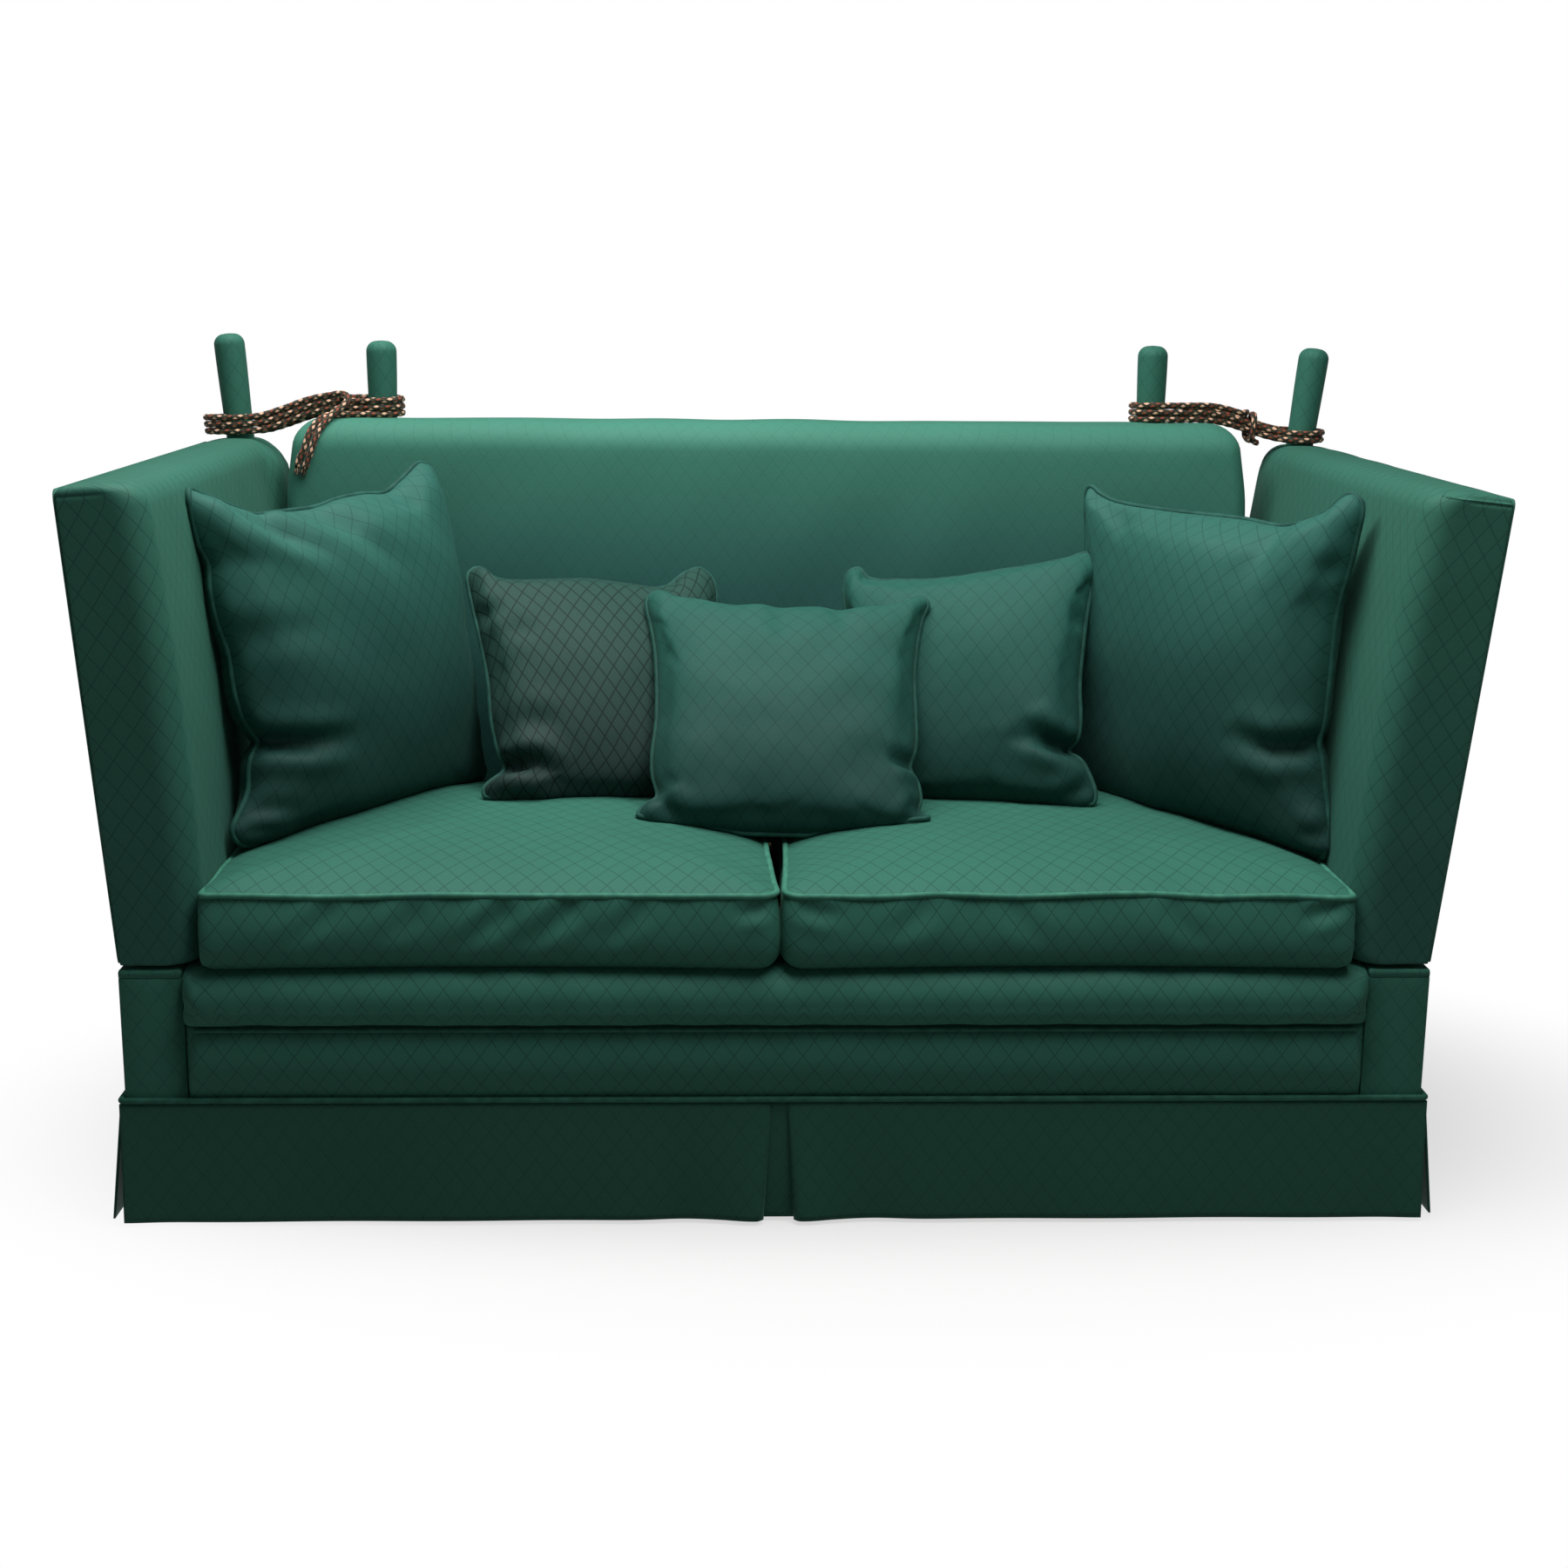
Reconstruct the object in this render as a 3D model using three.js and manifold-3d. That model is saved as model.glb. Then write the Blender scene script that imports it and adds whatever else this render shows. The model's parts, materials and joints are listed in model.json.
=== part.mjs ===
// Knole sofa: a two-seat settee whose padded arms are hinged along their outer bottom edges and are
// held up by ropes wound round the corner posts of the arms and of the back.
// Millimetres, +Z up, +X to the right as seen from the front, +Y to the back, origin on the floor
// under the middle of the sofa.
import * as THREE from "three";
import { mergeVertices } from "three/addons/utils/BufferGeometryUtils.js";
import Module from "manifold-3d";

// Overall sizes
const base_width = 1880;
const base_depth = 940;
const hinge_height = 386;
const arm_length = 678;
const arm_thickness = 118;
const left_arm_lean_degrees = 4.35;
const right_arm_lean_degrees = 6.03;
const back_height = 1107;
const back_depth = 208;
const back_rake = 65;
const skirt_top = 184;
const hem_clearance = 6;
const lip_drop = 2;
const lip_height = 84;

// Shared clearances
const fit_gap = 0.3;
const soft_gap = 0.6;
const hinge_gap = 3;
const overrun = 5;

// Timber of the base and the back
const leg_height = 110;
const leg_top_size = 70;
const leg_foot_size = 50;
const leg_inset_y = 15;
const side_rail_thickness = 35;
const front_rail_thickness = 30;
const front_rail_y = 20;
const back_rail_thickness = 45;
const back_rail_cover = 21;
const brace_width = 40;
const brace_room = 50;
const upright_width = 50;
const upright_depth = 60;
const upright_cover = 13;
const top_rail_height = 35;
const top_rail_end_cover = 24;
const top_rail_cover = 57;
const lower_rail_lift = 15.7;
const lower_rail_height = 60;
const lower_rail_thickness = 34;

// Springs and deck
const spring_wire = 5;
const spring_count = 10;
const spring_wave = 46;
const spring_bends = 8;
const spring_tie_count = 2;
const deck_front = 110;

// Posts
const back_post_inset = 142;
const back_post_cover = 43;
const back_post_rise = 131;
const arm_post_inner_cover = 49.3;
const arm_post_rear_cover = 32;
const arm_post_rise = 168;
const post_foot_radius = 23.5;
const post_head_radius = 26;
const post_round = 16;
const post_segments = 16;

// Upholstered covers of the base
const side_cover_width = 90;
const cover_skin = 4;
const cover_front_padding = 12;
const cover_top_padding = 11;
const cover_chamfer = 6;
const skirt_lap = 24;
const border_bulge = 16;
const lip_overhang = 22;
const lip_side_gap = 14;
const lip_corner = 24;
const lip_nose_top_share = 0.62;
const lip_nose_bottom_share = 0.36;

// Skirt
const skirt_thickness = 3;
const skirt_standoff = 3.7;
const skirt_flare = 6;
const skirt_side_flare = 20;
const skirt_fold = 7;
const pleat_opening = 11;
const fold_width_share = 0.05;
const fold_place_share = 0.86;
const fold_hollow_share = 0.6;
const corner_lift_share = 0.5;
const front_wave_share = 0.25;
const end_wave_share = 0.3;
const end_flare_share = 0.16;
const pleat_edge_share = 0.1;
const pleat_backing_half_width = 70;
const skirt_front_steps = 20;
const skirt_end_steps = 14;
const skirt_back_steps = 16;
const piping_radius = 4.5;
const piping_sides = 6;

// Arms
const arm_panel_thickness = 4;
const arm_panel_foot = 6;
const arm_panel_reveal = 2;
const arm_front_radius = 46;
const arm_top_inner_radius = 40;
const arm_top_outer_radius = 12;
const arm_foot_radius = 20;
const arm_crown = 8;
const arm_top_crown = 3;
const arm_rear_radius = 14;
const arm_frame_thickness = 45;
const arm_frame_front = 24;
const arm_frame_rear_cover = 8;
const arm_frame_foot = 12;
const arm_frame_top_cover = 16;
const arm_rail_height = 60;
const arm_top_rail_height = 50;
const arm_stile_width = 50;
const arm_rear_stile_width = 60;
const arm_rear_stile_cover = 25.4;

// Strip hinge of each arm
const hinge_front = 60;
const hinge_knuckle_count = 5;
const hinge_barrel_radius = 4.5;
const hinge_bore_radius = 2.15;
const hinge_pin_radius = 2;
const hinge_leaf_thickness = 2;
const hinge_leaf_height = 42;
const hinge_leaf_offset = 4.3;
const hinge_tab_gap = 0.5;
const hinge_segments = 12;

// Back upholstery
const back_roll_radius = 56;
const back_rear_radius = 40;
const back_corner_radius = 58;
const back_side_radius = 30;
const outside_back_thickness = 5;
const outside_back_drop = 46;

// Seat cushions
const seat_seam_height = 108;
const seat_crown = 42;
const seat_side_bulge = 9;
const seat_front_overhang = 6;
const seat_pull = 12;
const seat_corner_radius = 34;
const seat_middle_gap = 5;
const seat_arm_tuck = 16;
const seat_points_per_side = 10;
const seat_pull_exponent = 6;
const seat_shoulder_exponent = 3.2;
const seat_crown_exponent = 0.8;
const seat_underside_shares = [0.6, 0.985];
const seat_side_shares = [0.08, 0.3, 0.55, 0.8, 1];
const seat_top_shares = [0.96, 0.88, 0.74, 0.54, 0.28];

// Scatter cushions: corner-to-corner side, thickness, place of the foot, turn, lean and roll. A foot
// is measured across, forwards from the foot of the back and up from the seam of the seat: across
// from the side of the back for the big cushions, and from the middle of the seat for the others.
const small_cushion_size = 432;
const centre_cushion_size = 456;
const small_cushion_thickness = 150;
const big_left_cushion_size = 556;
const big_right_cushion_size = 542;
const big_cushion_thickness = 190;
const cushion_pull = 26;
const cushion_steps = 10;
const cushion_fullness = 0.55;
const big_left_foot = [172, 307, 5.7];
const big_left_turn_degrees = 55;
const big_left_lean_degrees = 8.5;
const big_right_foot = [159, 352, 3.7];
const big_right_turn_degrees = -50;
const big_right_lean_degrees = 4;
const small_left_foot = [-253, 277, 19.7];
const small_left_turn_degrees = 14.9;
const small_left_lean_degrees = 36;
const small_left_roll_degrees = 2.7;
const small_right_foot = [305, 297, 15.7];
const small_right_turn_degrees = -18.8;
const small_right_lean_degrees = 26;
const small_right_roll_degrees = -5.5;
const centre_cushion_foot = [13, 434, 15.7];
const centre_cushion_turn_degrees = -1.3;
const centre_cushion_lean_degrees = 44;
const centre_cushion_roll_degrees = 0.8;

// Ropes, each wound round an arm post and a back post, with their strands drawn in between the two
const rope_diameter = 10.5;
const rope_sides = 6;
const rope_steps = 6;
const rope_pitch = 11.8;
const rope_post_clearance = 2;
const rope_rest_gap = 0.5;
const right_rope_settle = 1.4;
const rope_drop_start_share = 0.32;
const rope_drop_end_share = 0.92;
const rope_arm_row_share = 0.5;
const rope_curve_steps = 16;
const left_rope_turns = 3;
const left_rope_slack = 22;
const left_rope_waist = 12;
const left_rope_waist_share = 0.5;
const left_rope_leave_share = 1 / 3;
const right_rope_turns = 2;
const right_rope_slack = 2;
const right_rope_waist = 8.5;
const right_rope_waist_share = 0.7;
const right_rope_start_share = 0.42;
const right_rope_start_flare = 10.5;
const hitch_start_share = 0.58;
const hitch_turns = 1.6;
const hitch_radius = 23;
const hitch_squareness = 2 / 3;
// Places of the two hanging ends, chosen by hand, from the axis of the back post at the top of the
// back: towards the arm, towards the front and up
const rope_first_end_route = [
  [131, 113, -78],
  [129.5, 112, -68.5],
  [119.2, 109.5, -46.8],
  [114.5, 105, -30],
  [108.2, 97.5, -15.5],
  [100.2, 84.5, -4],
  [89, 63, 4.5],
  [60, 46.5, 6.4],
  [28, 37, 6.2],
];
const rope_last_end_route = [
  [67, 22, 40.5],
  [57, 34, 37.5],
  [56, 44, 27.5],
  [64, 55, 18.5],
  [72.5, 65.5, 11.5],
  [80, 76.5, 4],
  [88.6, 88.4, -6.6],
  [96.4, 99.4, -19.5],
  [102.4, 107, -34],
  [107.2, 111.2, -50],
  [115.2, 113.6, -71],
  [119, 114.8, -81],
];

// Worked out from the sizes above
const half_base = base_width / 2;
const radians = Math.PI / 180;
const rail_bottom = leg_height + fit_gap;
const cover_bottom = skirt_top - skirt_lap;
const base_top = hinge_height - hinge_gap;
const lip_top = hinge_height - lip_drop;
const lip_bottom = lip_top - lip_height;
const seat_rail_top = lip_bottom - fit_gap;
const deck_top = lip_top - fit_gap;
const seat_bottom = lip_top + fit_gap;
const seat_seam = seat_bottom + seat_seam_height;
const half_back = half_base - arm_thickness - arm_crown;
const seat_outer_reach = half_back + seat_arm_tuck;
const frame_outer = hinge_leaf_offset + hinge_leaf_thickness + fit_gap;
const cover_inner_x = half_base - side_cover_width;
const back_foot_y = base_depth - back_depth;
const back_top_y = back_foot_y + back_rake;
const back_rail_y = base_depth - back_rail_cover - back_rail_thickness;
const upright_y = base_depth - upright_cover - upright_depth;
const top_rail_half_length = half_back - top_rail_end_cover;
const back_post_x = half_back - back_post_inset;
const back_post_y = base_depth - back_post_cover;
const arm_post_inset = arm_thickness - arm_post_inner_cover;
const arm_post_y = base_depth - arm_post_rear_cover;
const outside_back_y = base_depth - outside_back_thickness - arm_panel_reveal;
const hinge_length = base_depth - 2 * hinge_front;
const rope_radius = rope_diameter / 2;

const colours = {
  velvet: 0x2f6b58,
  velvet_dark: 0x234f42,
  patterned: 0x486f5e,
  beech: 0xb98d5a,
  steel: 0x8d8f92,
  hessian: 0xa58d63,
  rope: 0x3a2a22,
};
const steel_roughness_share = 0.4;
const cloth_roughness_share = 0.8;

const wasm = await Module();
wasm.setup();

// Joins a geometry's shared corners and makes it a solid that can be cut.
function asSolid(geometry) {
  const loose = geometry.index ? geometry.toNonIndexed() : geometry.clone();
  loose.deleteAttribute("normal");
  loose.deleteAttribute("uv");
  const merged = mergeVertices(loose);
  return new wasm.Manifold(
    new wasm.Mesh({
      numProp: 3,
      vertProperties: merged.attributes.position.array,
      triVerts: new Uint32Array(merged.index.array),
    }),
  );
}

// Turns a solid back into a geometry.
function asGeometry(solid) {
  const mesh = solid.getMesh();
  const corners = new Float32Array(mesh.numVert * 3);
  for (let i = 0; i < mesh.numVert; i++) {
    corners.set(mesh.vertProperties.subarray(i * mesh.numProp, i * mesh.numProp + 3), i * 3);
  }
  const geometry = new THREE.BufferGeometry();
  geometry.setAttribute("position", new THREE.BufferAttribute(corners, 3));
  geometry.setIndex(new THREE.BufferAttribute(mesh.triVerts, 1));
  geometry.computeVertexNormals();
  return geometry;
}

function cut(geometry, ...tools) {
  return asGeometry(tools.reduce((left, tool) => left.subtract(asSolid(tool)), asSolid(geometry)));
}

function join(geometry, ...others) {
  return asGeometry(others.reduce((whole, other) => whole.add(asSolid(other)), asSolid(geometry)));
}

function common(geometry, ...others) {
  return asGeometry(others.reduce((left, other) => left.intersect(asSolid(other)), asSolid(geometry)));
}

function box(x0, x1, y0, y1, z0, z1) {
  const geometry = new THREE.BoxGeometry(Math.abs(x1 - x0), y1 - y0, z1 - z0);
  return geometry.translate((x0 + x1) / 2, (y0 + y1) / 2, (z0 + z1) / 2);
}

// A box measured inwards from the outer face of the base on one side.
function sideBox(side, inward0, inward1, y0, y1, z0, z1) {
  return box(side * (half_base - inward0), side * (half_base - inward1), y0, y1, z0, z1);
}

function shapeOf(points) {
  return new THREE.Shape(points.map(([a, b]) => new THREE.Vector2(a, b)));
}

function extrude(points, depth) {
  return new THREE.ExtrudeGeometry(shapeOf(points), { depth, bevelEnabled: false, steps: 1 });
}

// Outlines in X and Z, pushed along Y.
function prismY(points, y0, y1) {
  return extrude(points, y1 - y0).rotateX(Math.PI / 2).translate(0, y1, 0);
}

// Outlines in Y and Z, pushed along X.
function prismX(points, x0, x1) {
  const turn = new THREE.Matrix4().makeBasis(
    new THREE.Vector3(0, 1, 0),
    new THREE.Vector3(0, 0, 1),
    new THREE.Vector3(1, 0, 0),
  );
  return extrude(points, x1 - x0).applyMatrix4(turn).translate(x0, 0, 0);
}

// Outlines in X and Y, pushed along Z.
function prismZ(points, z0, z1) {
  return extrude(points, z1 - z0).translate(0, 0, z0);
}

// Rounds the corners of an outline: each corner is a place and its radius.
function rounded(corners, steps = 4) {
  const outline = [];
  corners.forEach(([x, y, radius = 0], i) => {
    if (!radius) {
      outline.push([x, y]);
      return;
    }
    const corner = new THREE.Vector2(x, y);
    const before = new THREE.Vector2(...corners.at(i - 1).slice(0, 2));
    const after = new THREE.Vector2(...corners[(i + 1) % corners.length].slice(0, 2));
    const from = before.sub(corner).setLength(radius).add(corner);
    const to = after.sub(corner).setLength(radius).add(corner);
    const curve = new THREE.QuadraticBezierCurve(from, corner, to);
    curve.getPoints(steps).forEach((p) => outline.push([p.x, p.y]));
  });
  return outline;
}

// Points of a bulging edge from one place to another, without its two ends.
function bulged([x0, y0], [x1, y1], out, steps = 6) {
  const along = new THREE.Vector2(x1 - x0, y1 - y0);
  const away = new THREE.Vector2(along.y, -along.x).setLength(Math.abs(out)).multiplyScalar(Math.sign(out));
  const points = [];
  for (let i = 1; i < steps; i++) {
    const t = i / steps;
    const lift = Math.sin(Math.PI * t);
    points.push([x0 + along.x * t + away.x * lift, y0 + along.y * t + away.y * lift]);
  }
  return points;
}

function geometryFrom(corners, faces) {
  const geometry = new THREE.BufferGeometry();
  geometry.setAttribute("position", new THREE.Float32BufferAttribute(corners.flat(), 3));
  geometry.setIndex(faces.flat());
  geometry.computeVertexNormals();
  return geometry;
}

// Skins a stack of rings, each with the same count of points, and closes both ends with a fan.
function loft(rings) {
  const corners = rings.flat();
  const around = rings[0].length;
  const faces = [];
  for (let r = 0; r + 1 < rings.length; r++) {
    for (let i = 0; i < around; i++) {
      const a = r * around + i;
      const b = r * around + ((i + 1) % around);
      faces.push([a, b, b + around], [a, b + around, a + around]);
    }
  }
  const close = (ring, start, flip) => {
    const middle = corners.length;
    corners.push([0, 1, 2].map((k) => ring.reduce((sum, p) => sum + p[k], 0) / around));
    for (let i = 0; i < around; i++) {
      const a = start + i;
      const b = start + ((i + 1) % around);
      faces.push(flip ? [b, a, middle] : [a, b, middle]);
    }
  };
  close(rings[0], 0, true);
  close(rings.at(-1), (rings.length - 1) * around, false);
  return geometryFrom(corners, faces);
}

// A tube of a few sides along a list of points.
function tube(points, radius, sides) {
  const path = points.map((p) => new THREE.Vector3(...p));
  let side = new THREE.Vector3(0, 0, 1);
  const rings = path.map((p, i) => {
    const ahead = path[Math.min(i + 1, path.length - 1)].clone().sub(path[Math.max(i - 1, 0)]).normalize();
    side = side.clone().sub(ahead.clone().multiplyScalar(side.dot(ahead))).normalize();
    const up = ahead.clone().cross(side);
    return Array.from({ length: sides }, (_, k) => {
      const angle = (2 * Math.PI * k) / sides;
      const q = side.clone().multiplyScalar(Math.cos(angle) * radius);
      return q.addScaledVector(up, Math.sin(angle) * radius).add(p).toArray();
    });
  });
  return loft(rings);
}

// The least gap between stretches of a tube that are further apart along it than they are wide.
function leastGap(points, diameter) {
  const path = points.map((p) => new THREE.Vector3(...p));
  const run = [0];
  for (let i = 1; i < path.length; i++) run.push(run[i - 1] + path[i].distanceTo(path[i - 1]));
  const nearest = (p, a, b) => {
    const span = new THREE.Line3(a, b);
    return span.closestPointToPoint(p, true, new THREE.Vector3()).distanceTo(p);
  };
  let least = Infinity;
  path.forEach((p, i) => {
    for (let j = 0; j + 1 < path.length; j++) {
      const apart = Math.min(Math.abs(run[i] - run[j]), Math.abs(run[i] - run[j + 1]));
      if (apart > 4 * diameter) least = Math.min(least, nearest(p, path[j], path[j + 1]) - diameter);
    }
  });
  return least;
}

const sofa = new THREE.Group();

// Adds a named mesh to a group.
function add(name, geometry, colour, group = sofa) {
  const metal = colour === colours.steel;
  const material = new THREE.MeshStandardMaterial({
    color: colour,
    roughness: metal ? steel_roughness_share : cloth_roughness_share,
    metalness: metal ? 1 : 0,
  });
  const mesh = new THREE.Mesh(geometry, material);
  mesh.name = name;
  group.add(mesh);
  return mesh;
}

// Timber frame of the base: four rails, a brace under the springs and five legs.
function buildBaseFrame() {
  const rail_x = half_base - frame_outer - side_rail_thickness;
  const side_top = base_top - cover_top_padding - fit_gap;
  const side_y0 = cover_front_padding + fit_gap;
  const side_y1 = base_depth - cover_front_padding - fit_gap;
  for (const [name, side] of [["left", -1], ["right", 1]]) {
    const inward = frame_outer + side_rail_thickness;
    add("side_rail_" + name, sideBox(side, frame_outer, inward, side_y0, side_y1, rail_bottom, side_top),
      colours.beech);
  }
  const inner_x = rail_x - fit_gap;
  const front_y1 = front_rail_y + front_rail_thickness;
  add("front_rail", box(-inner_x, inner_x, front_rail_y, front_y1, rail_bottom, seat_rail_top),
    colours.beech);
  const back_y1 = back_rail_y + back_rail_thickness;
  add("back_rail", box(-inner_x, inner_x, back_rail_y, back_y1, rail_bottom, seat_rail_top), colours.beech);
  const brace_x = brace_width / 2;
  const brace_top = seat_rail_top - 2 * spring_wire - brace_room;
  add("seat_brace", box(-brace_x, brace_x, front_y1 + fit_gap, back_rail_y - fit_gap, rail_bottom,
    brace_top), colours.beech);

  const leg_x = half_base - frame_outer - leg_top_size / 2;
  const leg_front_y = leg_inset_y + leg_top_size / 2;
  const leg_rear_y = base_depth - leg_inset_y - leg_top_size / 2;
  const places = {
    leg_front_left: [-leg_x, leg_front_y],
    leg_front_right: [leg_x, leg_front_y],
    leg_rear_left: [-leg_x, leg_rear_y],
    leg_rear_right: [leg_x, leg_rear_y],
    leg_centre: [0, leg_front_y],
  };
  for (const [name, [x, y]] of Object.entries(places)) {
    const square = (half, z) => [[-half, -half, z], [half, -half, z], [half, half, z], [-half, half, z]];
    const leg = add(name, loft([square(leg_foot_size / 2, 0), square(leg_top_size / 2, leg_height)]),
      colours.beech);
    leg.position.set(x, y, 0);
  }
}

// One zigzag spring as a flat outline in X and Y.
function zigzag(centre_x, y0, y1) {
  const middle = [];
  for (let i = 0; i <= spring_bends; i++) {
    const swing = i % 2 ? spring_wave / 2 : -spring_wave / 2;
    middle.push([centre_x + (i && i < spring_bends ? swing : 0), y0 + ((y1 - y0) * i) / spring_bends]);
  }
  const half = spring_wire / 2;
  const left = middle.map(([x, y]) => [x - half, y]);
  const right = middle.map(([x, y]) => [x + half, y]).reverse();
  return left.concat(right);
}

// Zigzag springs from rail to rail, tied across by wires, with the stuffed deck over them.
function buildSeat() {
  const y0 = front_rail_y + front_rail_thickness + fit_gap;
  const y1 = back_rail_y - fit_gap;
  const z1 = seat_rail_top - spring_wire;
  const z0 = z1 - spring_wire;
  const pitch = (2 * cover_inner_x) / spring_count;
  const springs = [];
  for (let i = 0; i < spring_count; i++) {
    springs.push(prismZ(zigzag((i - (spring_count - 1) / 2) * pitch, y0, y1), z0, z1));
  }
  const reach = ((spring_count - 1) / 2) * pitch + spring_wave / 2;
  for (let i = 1; i <= spring_tie_count; i++) {
    const y = y0 + ((y1 - y0) * i) / (spring_tie_count + 1);
    springs.push(box(-reach, reach, y - spring_wire / 2, y + spring_wire / 2, z0, z1));
  }
  add("seat_springs", join(...springs), colours.steel);

  const deck_x = cover_inner_x - fit_gap;
  const deck_y1 = upright_y - fit_gap;
  add("seat_deck", box(-deck_x, deck_x, deck_front + fit_gap, deck_y1, z1 + fit_gap, deck_top),
    colours.hessian);
}

// Padded covers of the base: the two end panels, the front border and the lip above it.
function buildBaseCovers() {
  const skin_top = base_top - cover_top_padding;
  for (const [name, side] of [["left", -1], ["right", 1]]) {
    const outer = side * half_base;
    const inner = side * cover_inner_x;
    const outline = rounded([
      [outer, cover_bottom],
      [outer, base_top - cover_chamfer],
      [outer - side * cover_chamfer, base_top],
      [inner, base_top, cover_chamfer],
      [inner, cover_bottom],
    ]);
    const whole = prismY(outline, 0, base_depth);
    const pocket = sideBox(side, cover_skin, side_cover_width + overrun, cover_front_padding,
      base_depth - cover_front_padding, cover_bottom - overrun, skin_top);
    const leaf_slot = sideBox(side, cover_skin, frame_outer + fit_gap, hinge_front - fit_gap,
      hinge_front + hinge_length + fit_gap, skin_top - overrun, base_top + overrun);
    add("base_cover_" + name, cut(whole, pocket, leaf_slot), colours.velvet);
  }

  const border_top = lip_bottom - fit_gap;
  const border_backing = front_rail_y - fit_gap;
  const border_lip = skirt_top + 2 * (piping_radius + fit_gap);
  const border_profile = rounded([
    [border_backing, cover_bottom],
    [border_backing, border_top],
    [0, border_top, border_backing / 2],
    ...bulged([0, border_top - border_bulge / 2], [0, border_lip], border_bulge),
    [0, border_lip],
    [0, cover_bottom],
  ]);
  const half_border = cover_inner_x - fit_gap;
  const half_flat = half_border - border_bulge;
  const border_front = [
    [-half_border, cover_bottom],
    [half_border, cover_bottom],
    ...bulged([half_flat, cover_bottom], [half_flat, border_top], border_bulge),
    [half_flat, border_top],
    [-half_flat, border_top],
    ...bulged([-half_flat, border_top], [-half_flat, cover_bottom], border_bulge),
  ];
  add("front_border", common(prismX(border_profile, -half_border, half_border),
    prismY(border_front, -lip_overhang, deck_front)), colours.velvet);

  const lip_profile = rounded([
    [deck_front, lip_bottom],
    [deck_front, lip_top],
    [-lip_overhang, lip_top, lip_height * lip_nose_top_share],
    [-lip_overhang, lip_bottom, lip_height * lip_nose_bottom_share],
  ], 6);
  const half_lip = cover_inner_x - lip_side_gap;
  const lip_front = rounded([
    [-half_lip, lip_bottom, lip_corner / 2],
    [half_lip, lip_bottom, lip_corner / 2],
    [half_lip, lip_top, lip_corner],
    [-half_lip, lip_top, lip_corner],
  ]);
  add("lip_roll", common(prismX(lip_profile, -half_lip, half_lip),
    prismY(lip_front, -lip_overhang - overrun, deck_front + overrun)), colours.velvet);
}

// A hanging cloth: rings of four corners from one end of the panel to the other.
function hanging(width, outward, steps) {
  const rings = [];
  for (let i = 0; i <= steps; i++) {
    const t = i / steps;
    const column = [];
    const levels = 3;
    for (let k = 0; k <= levels; k++) {
      const drop = k / levels;
      column.push([t * width, -outward(t, drop), skirt_top - (skirt_top - hem_clearance) * drop]);
    }
    const inner = column.map(([x, y, z]) => [x, y + skirt_thickness, z]).reverse();
    rings.push(column.concat(inner));
  }
  return loft(rings);
}

// The skirt: two front panels that part over an inverted pleat, plain ends and back, and piping.
function buildSkirt() {
  const stand = skirt_standoff + skirt_thickness;
  const front_width = half_base - pleat_opening / 2 + stand;
  // Each front panel hangs flat, lifts in a soft fold beside the pleat and flares at the corner.
  const frontDrape = (t, drop) => {
    const hump = (place) => Math.exp(-(((place - t) / fold_width_share) ** 2));
    const pleat = hump(1) - fold_hollow_share * hump(fold_place_share);
    const wave = front_wave_share * Math.sin(3 * Math.PI * t) ** 2;
    return stand + drop * (skirt_flare + skirt_fold * (pleat + corner_lift_share * hump(0) + wave));
  };
  const left = hanging(front_width - pleat_opening / 2, frontDrape, skirt_front_steps);
  // The edge at the pleat opens towards the hem.
  openEdge(left, front_width - pleat_opening / 2);
  left.translate(-half_base - stand, 0, 0);
  const right = left.clone().scale(-1, 1, 1);
  right.setIndex(flipFaces(right.index.array));
  add("skirt_front_left", left, colours.velvet_dark);
  add("skirt_front_right", right, colours.velvet_dark);
  add("skirt_pleat", box(-pleat_backing_half_width, pleat_backing_half_width,
    -skirt_standoff + fit_gap, -fit_gap, hem_clearance, skirt_top), colours.velvet_dark);

  const endDrape = (t, drop) => {
    const front = Math.exp(-((t / end_flare_share) ** 2));
    const wave = end_wave_share * Math.sin(2 * Math.PI * t) ** 2;
    return stand + drop * (skirt_flare + (skirt_side_flare - skirt_flare) * front + skirt_fold * wave);
  };
  const end_width = base_depth + stand;
  const end_right = hanging(end_width, endDrape, skirt_end_steps).rotateZ(Math.PI / 2);
  end_right.translate(half_base, 0, 0);
  const end_left = end_right.clone().scale(-1, 1, 1);
  end_left.setIndex(flipFaces(end_left.index.array));
  add("skirt_end_left", end_left, colours.velvet_dark);
  add("skirt_end_right", end_right, colours.velvet_dark);

  const backDrape = (t, drop) =>
    stand + drop * (skirt_flare + skirt_fold * end_wave_share * Math.sin(4 * Math.PI * t) ** 2);
  const back = hanging(2 * (half_base - fit_gap), backDrape, skirt_back_steps).rotateZ(Math.PI);
  back.translate(half_base - fit_gap, base_depth, 0);
  add("skirt_back", back, colours.velvet_dark);

  const off = piping_radius + fit_gap;
  const z = skirt_top + off;
  const corners = [[-half_base - off, -off], [half_base + off, -off], [half_base + off, base_depth + off],
    [-half_base - off, base_depth + off]].map(([x, y]) => [x, y, piping_radius]);
  const loop = rounded(corners, 3).map(([x, y]) => [x, y, z]);
  add("skirt_piping", closedTube(loop, piping_radius, piping_sides), colours.velvet);
}

function flipFaces(index) {
  const turned = [];
  for (let i = 0; i < index.length; i += 3) turned.push(index[i], index[i + 2], index[i + 1]);
  return turned;
}

// Draws the pleat edge of a front panel back towards its hem.
function openEdge(geometry, width) {
  const place = geometry.attributes.position;
  for (let i = 0; i < place.count; i++) {
    const near = THREE.MathUtils.smoothstep(place.getX(i), width * (1 - pleat_edge_share), width);
    const drop = (skirt_top - place.getZ(i)) / (skirt_top - hem_clearance);
    place.setX(i, place.getX(i) - near * drop * pleat_opening);
  }
}

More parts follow.
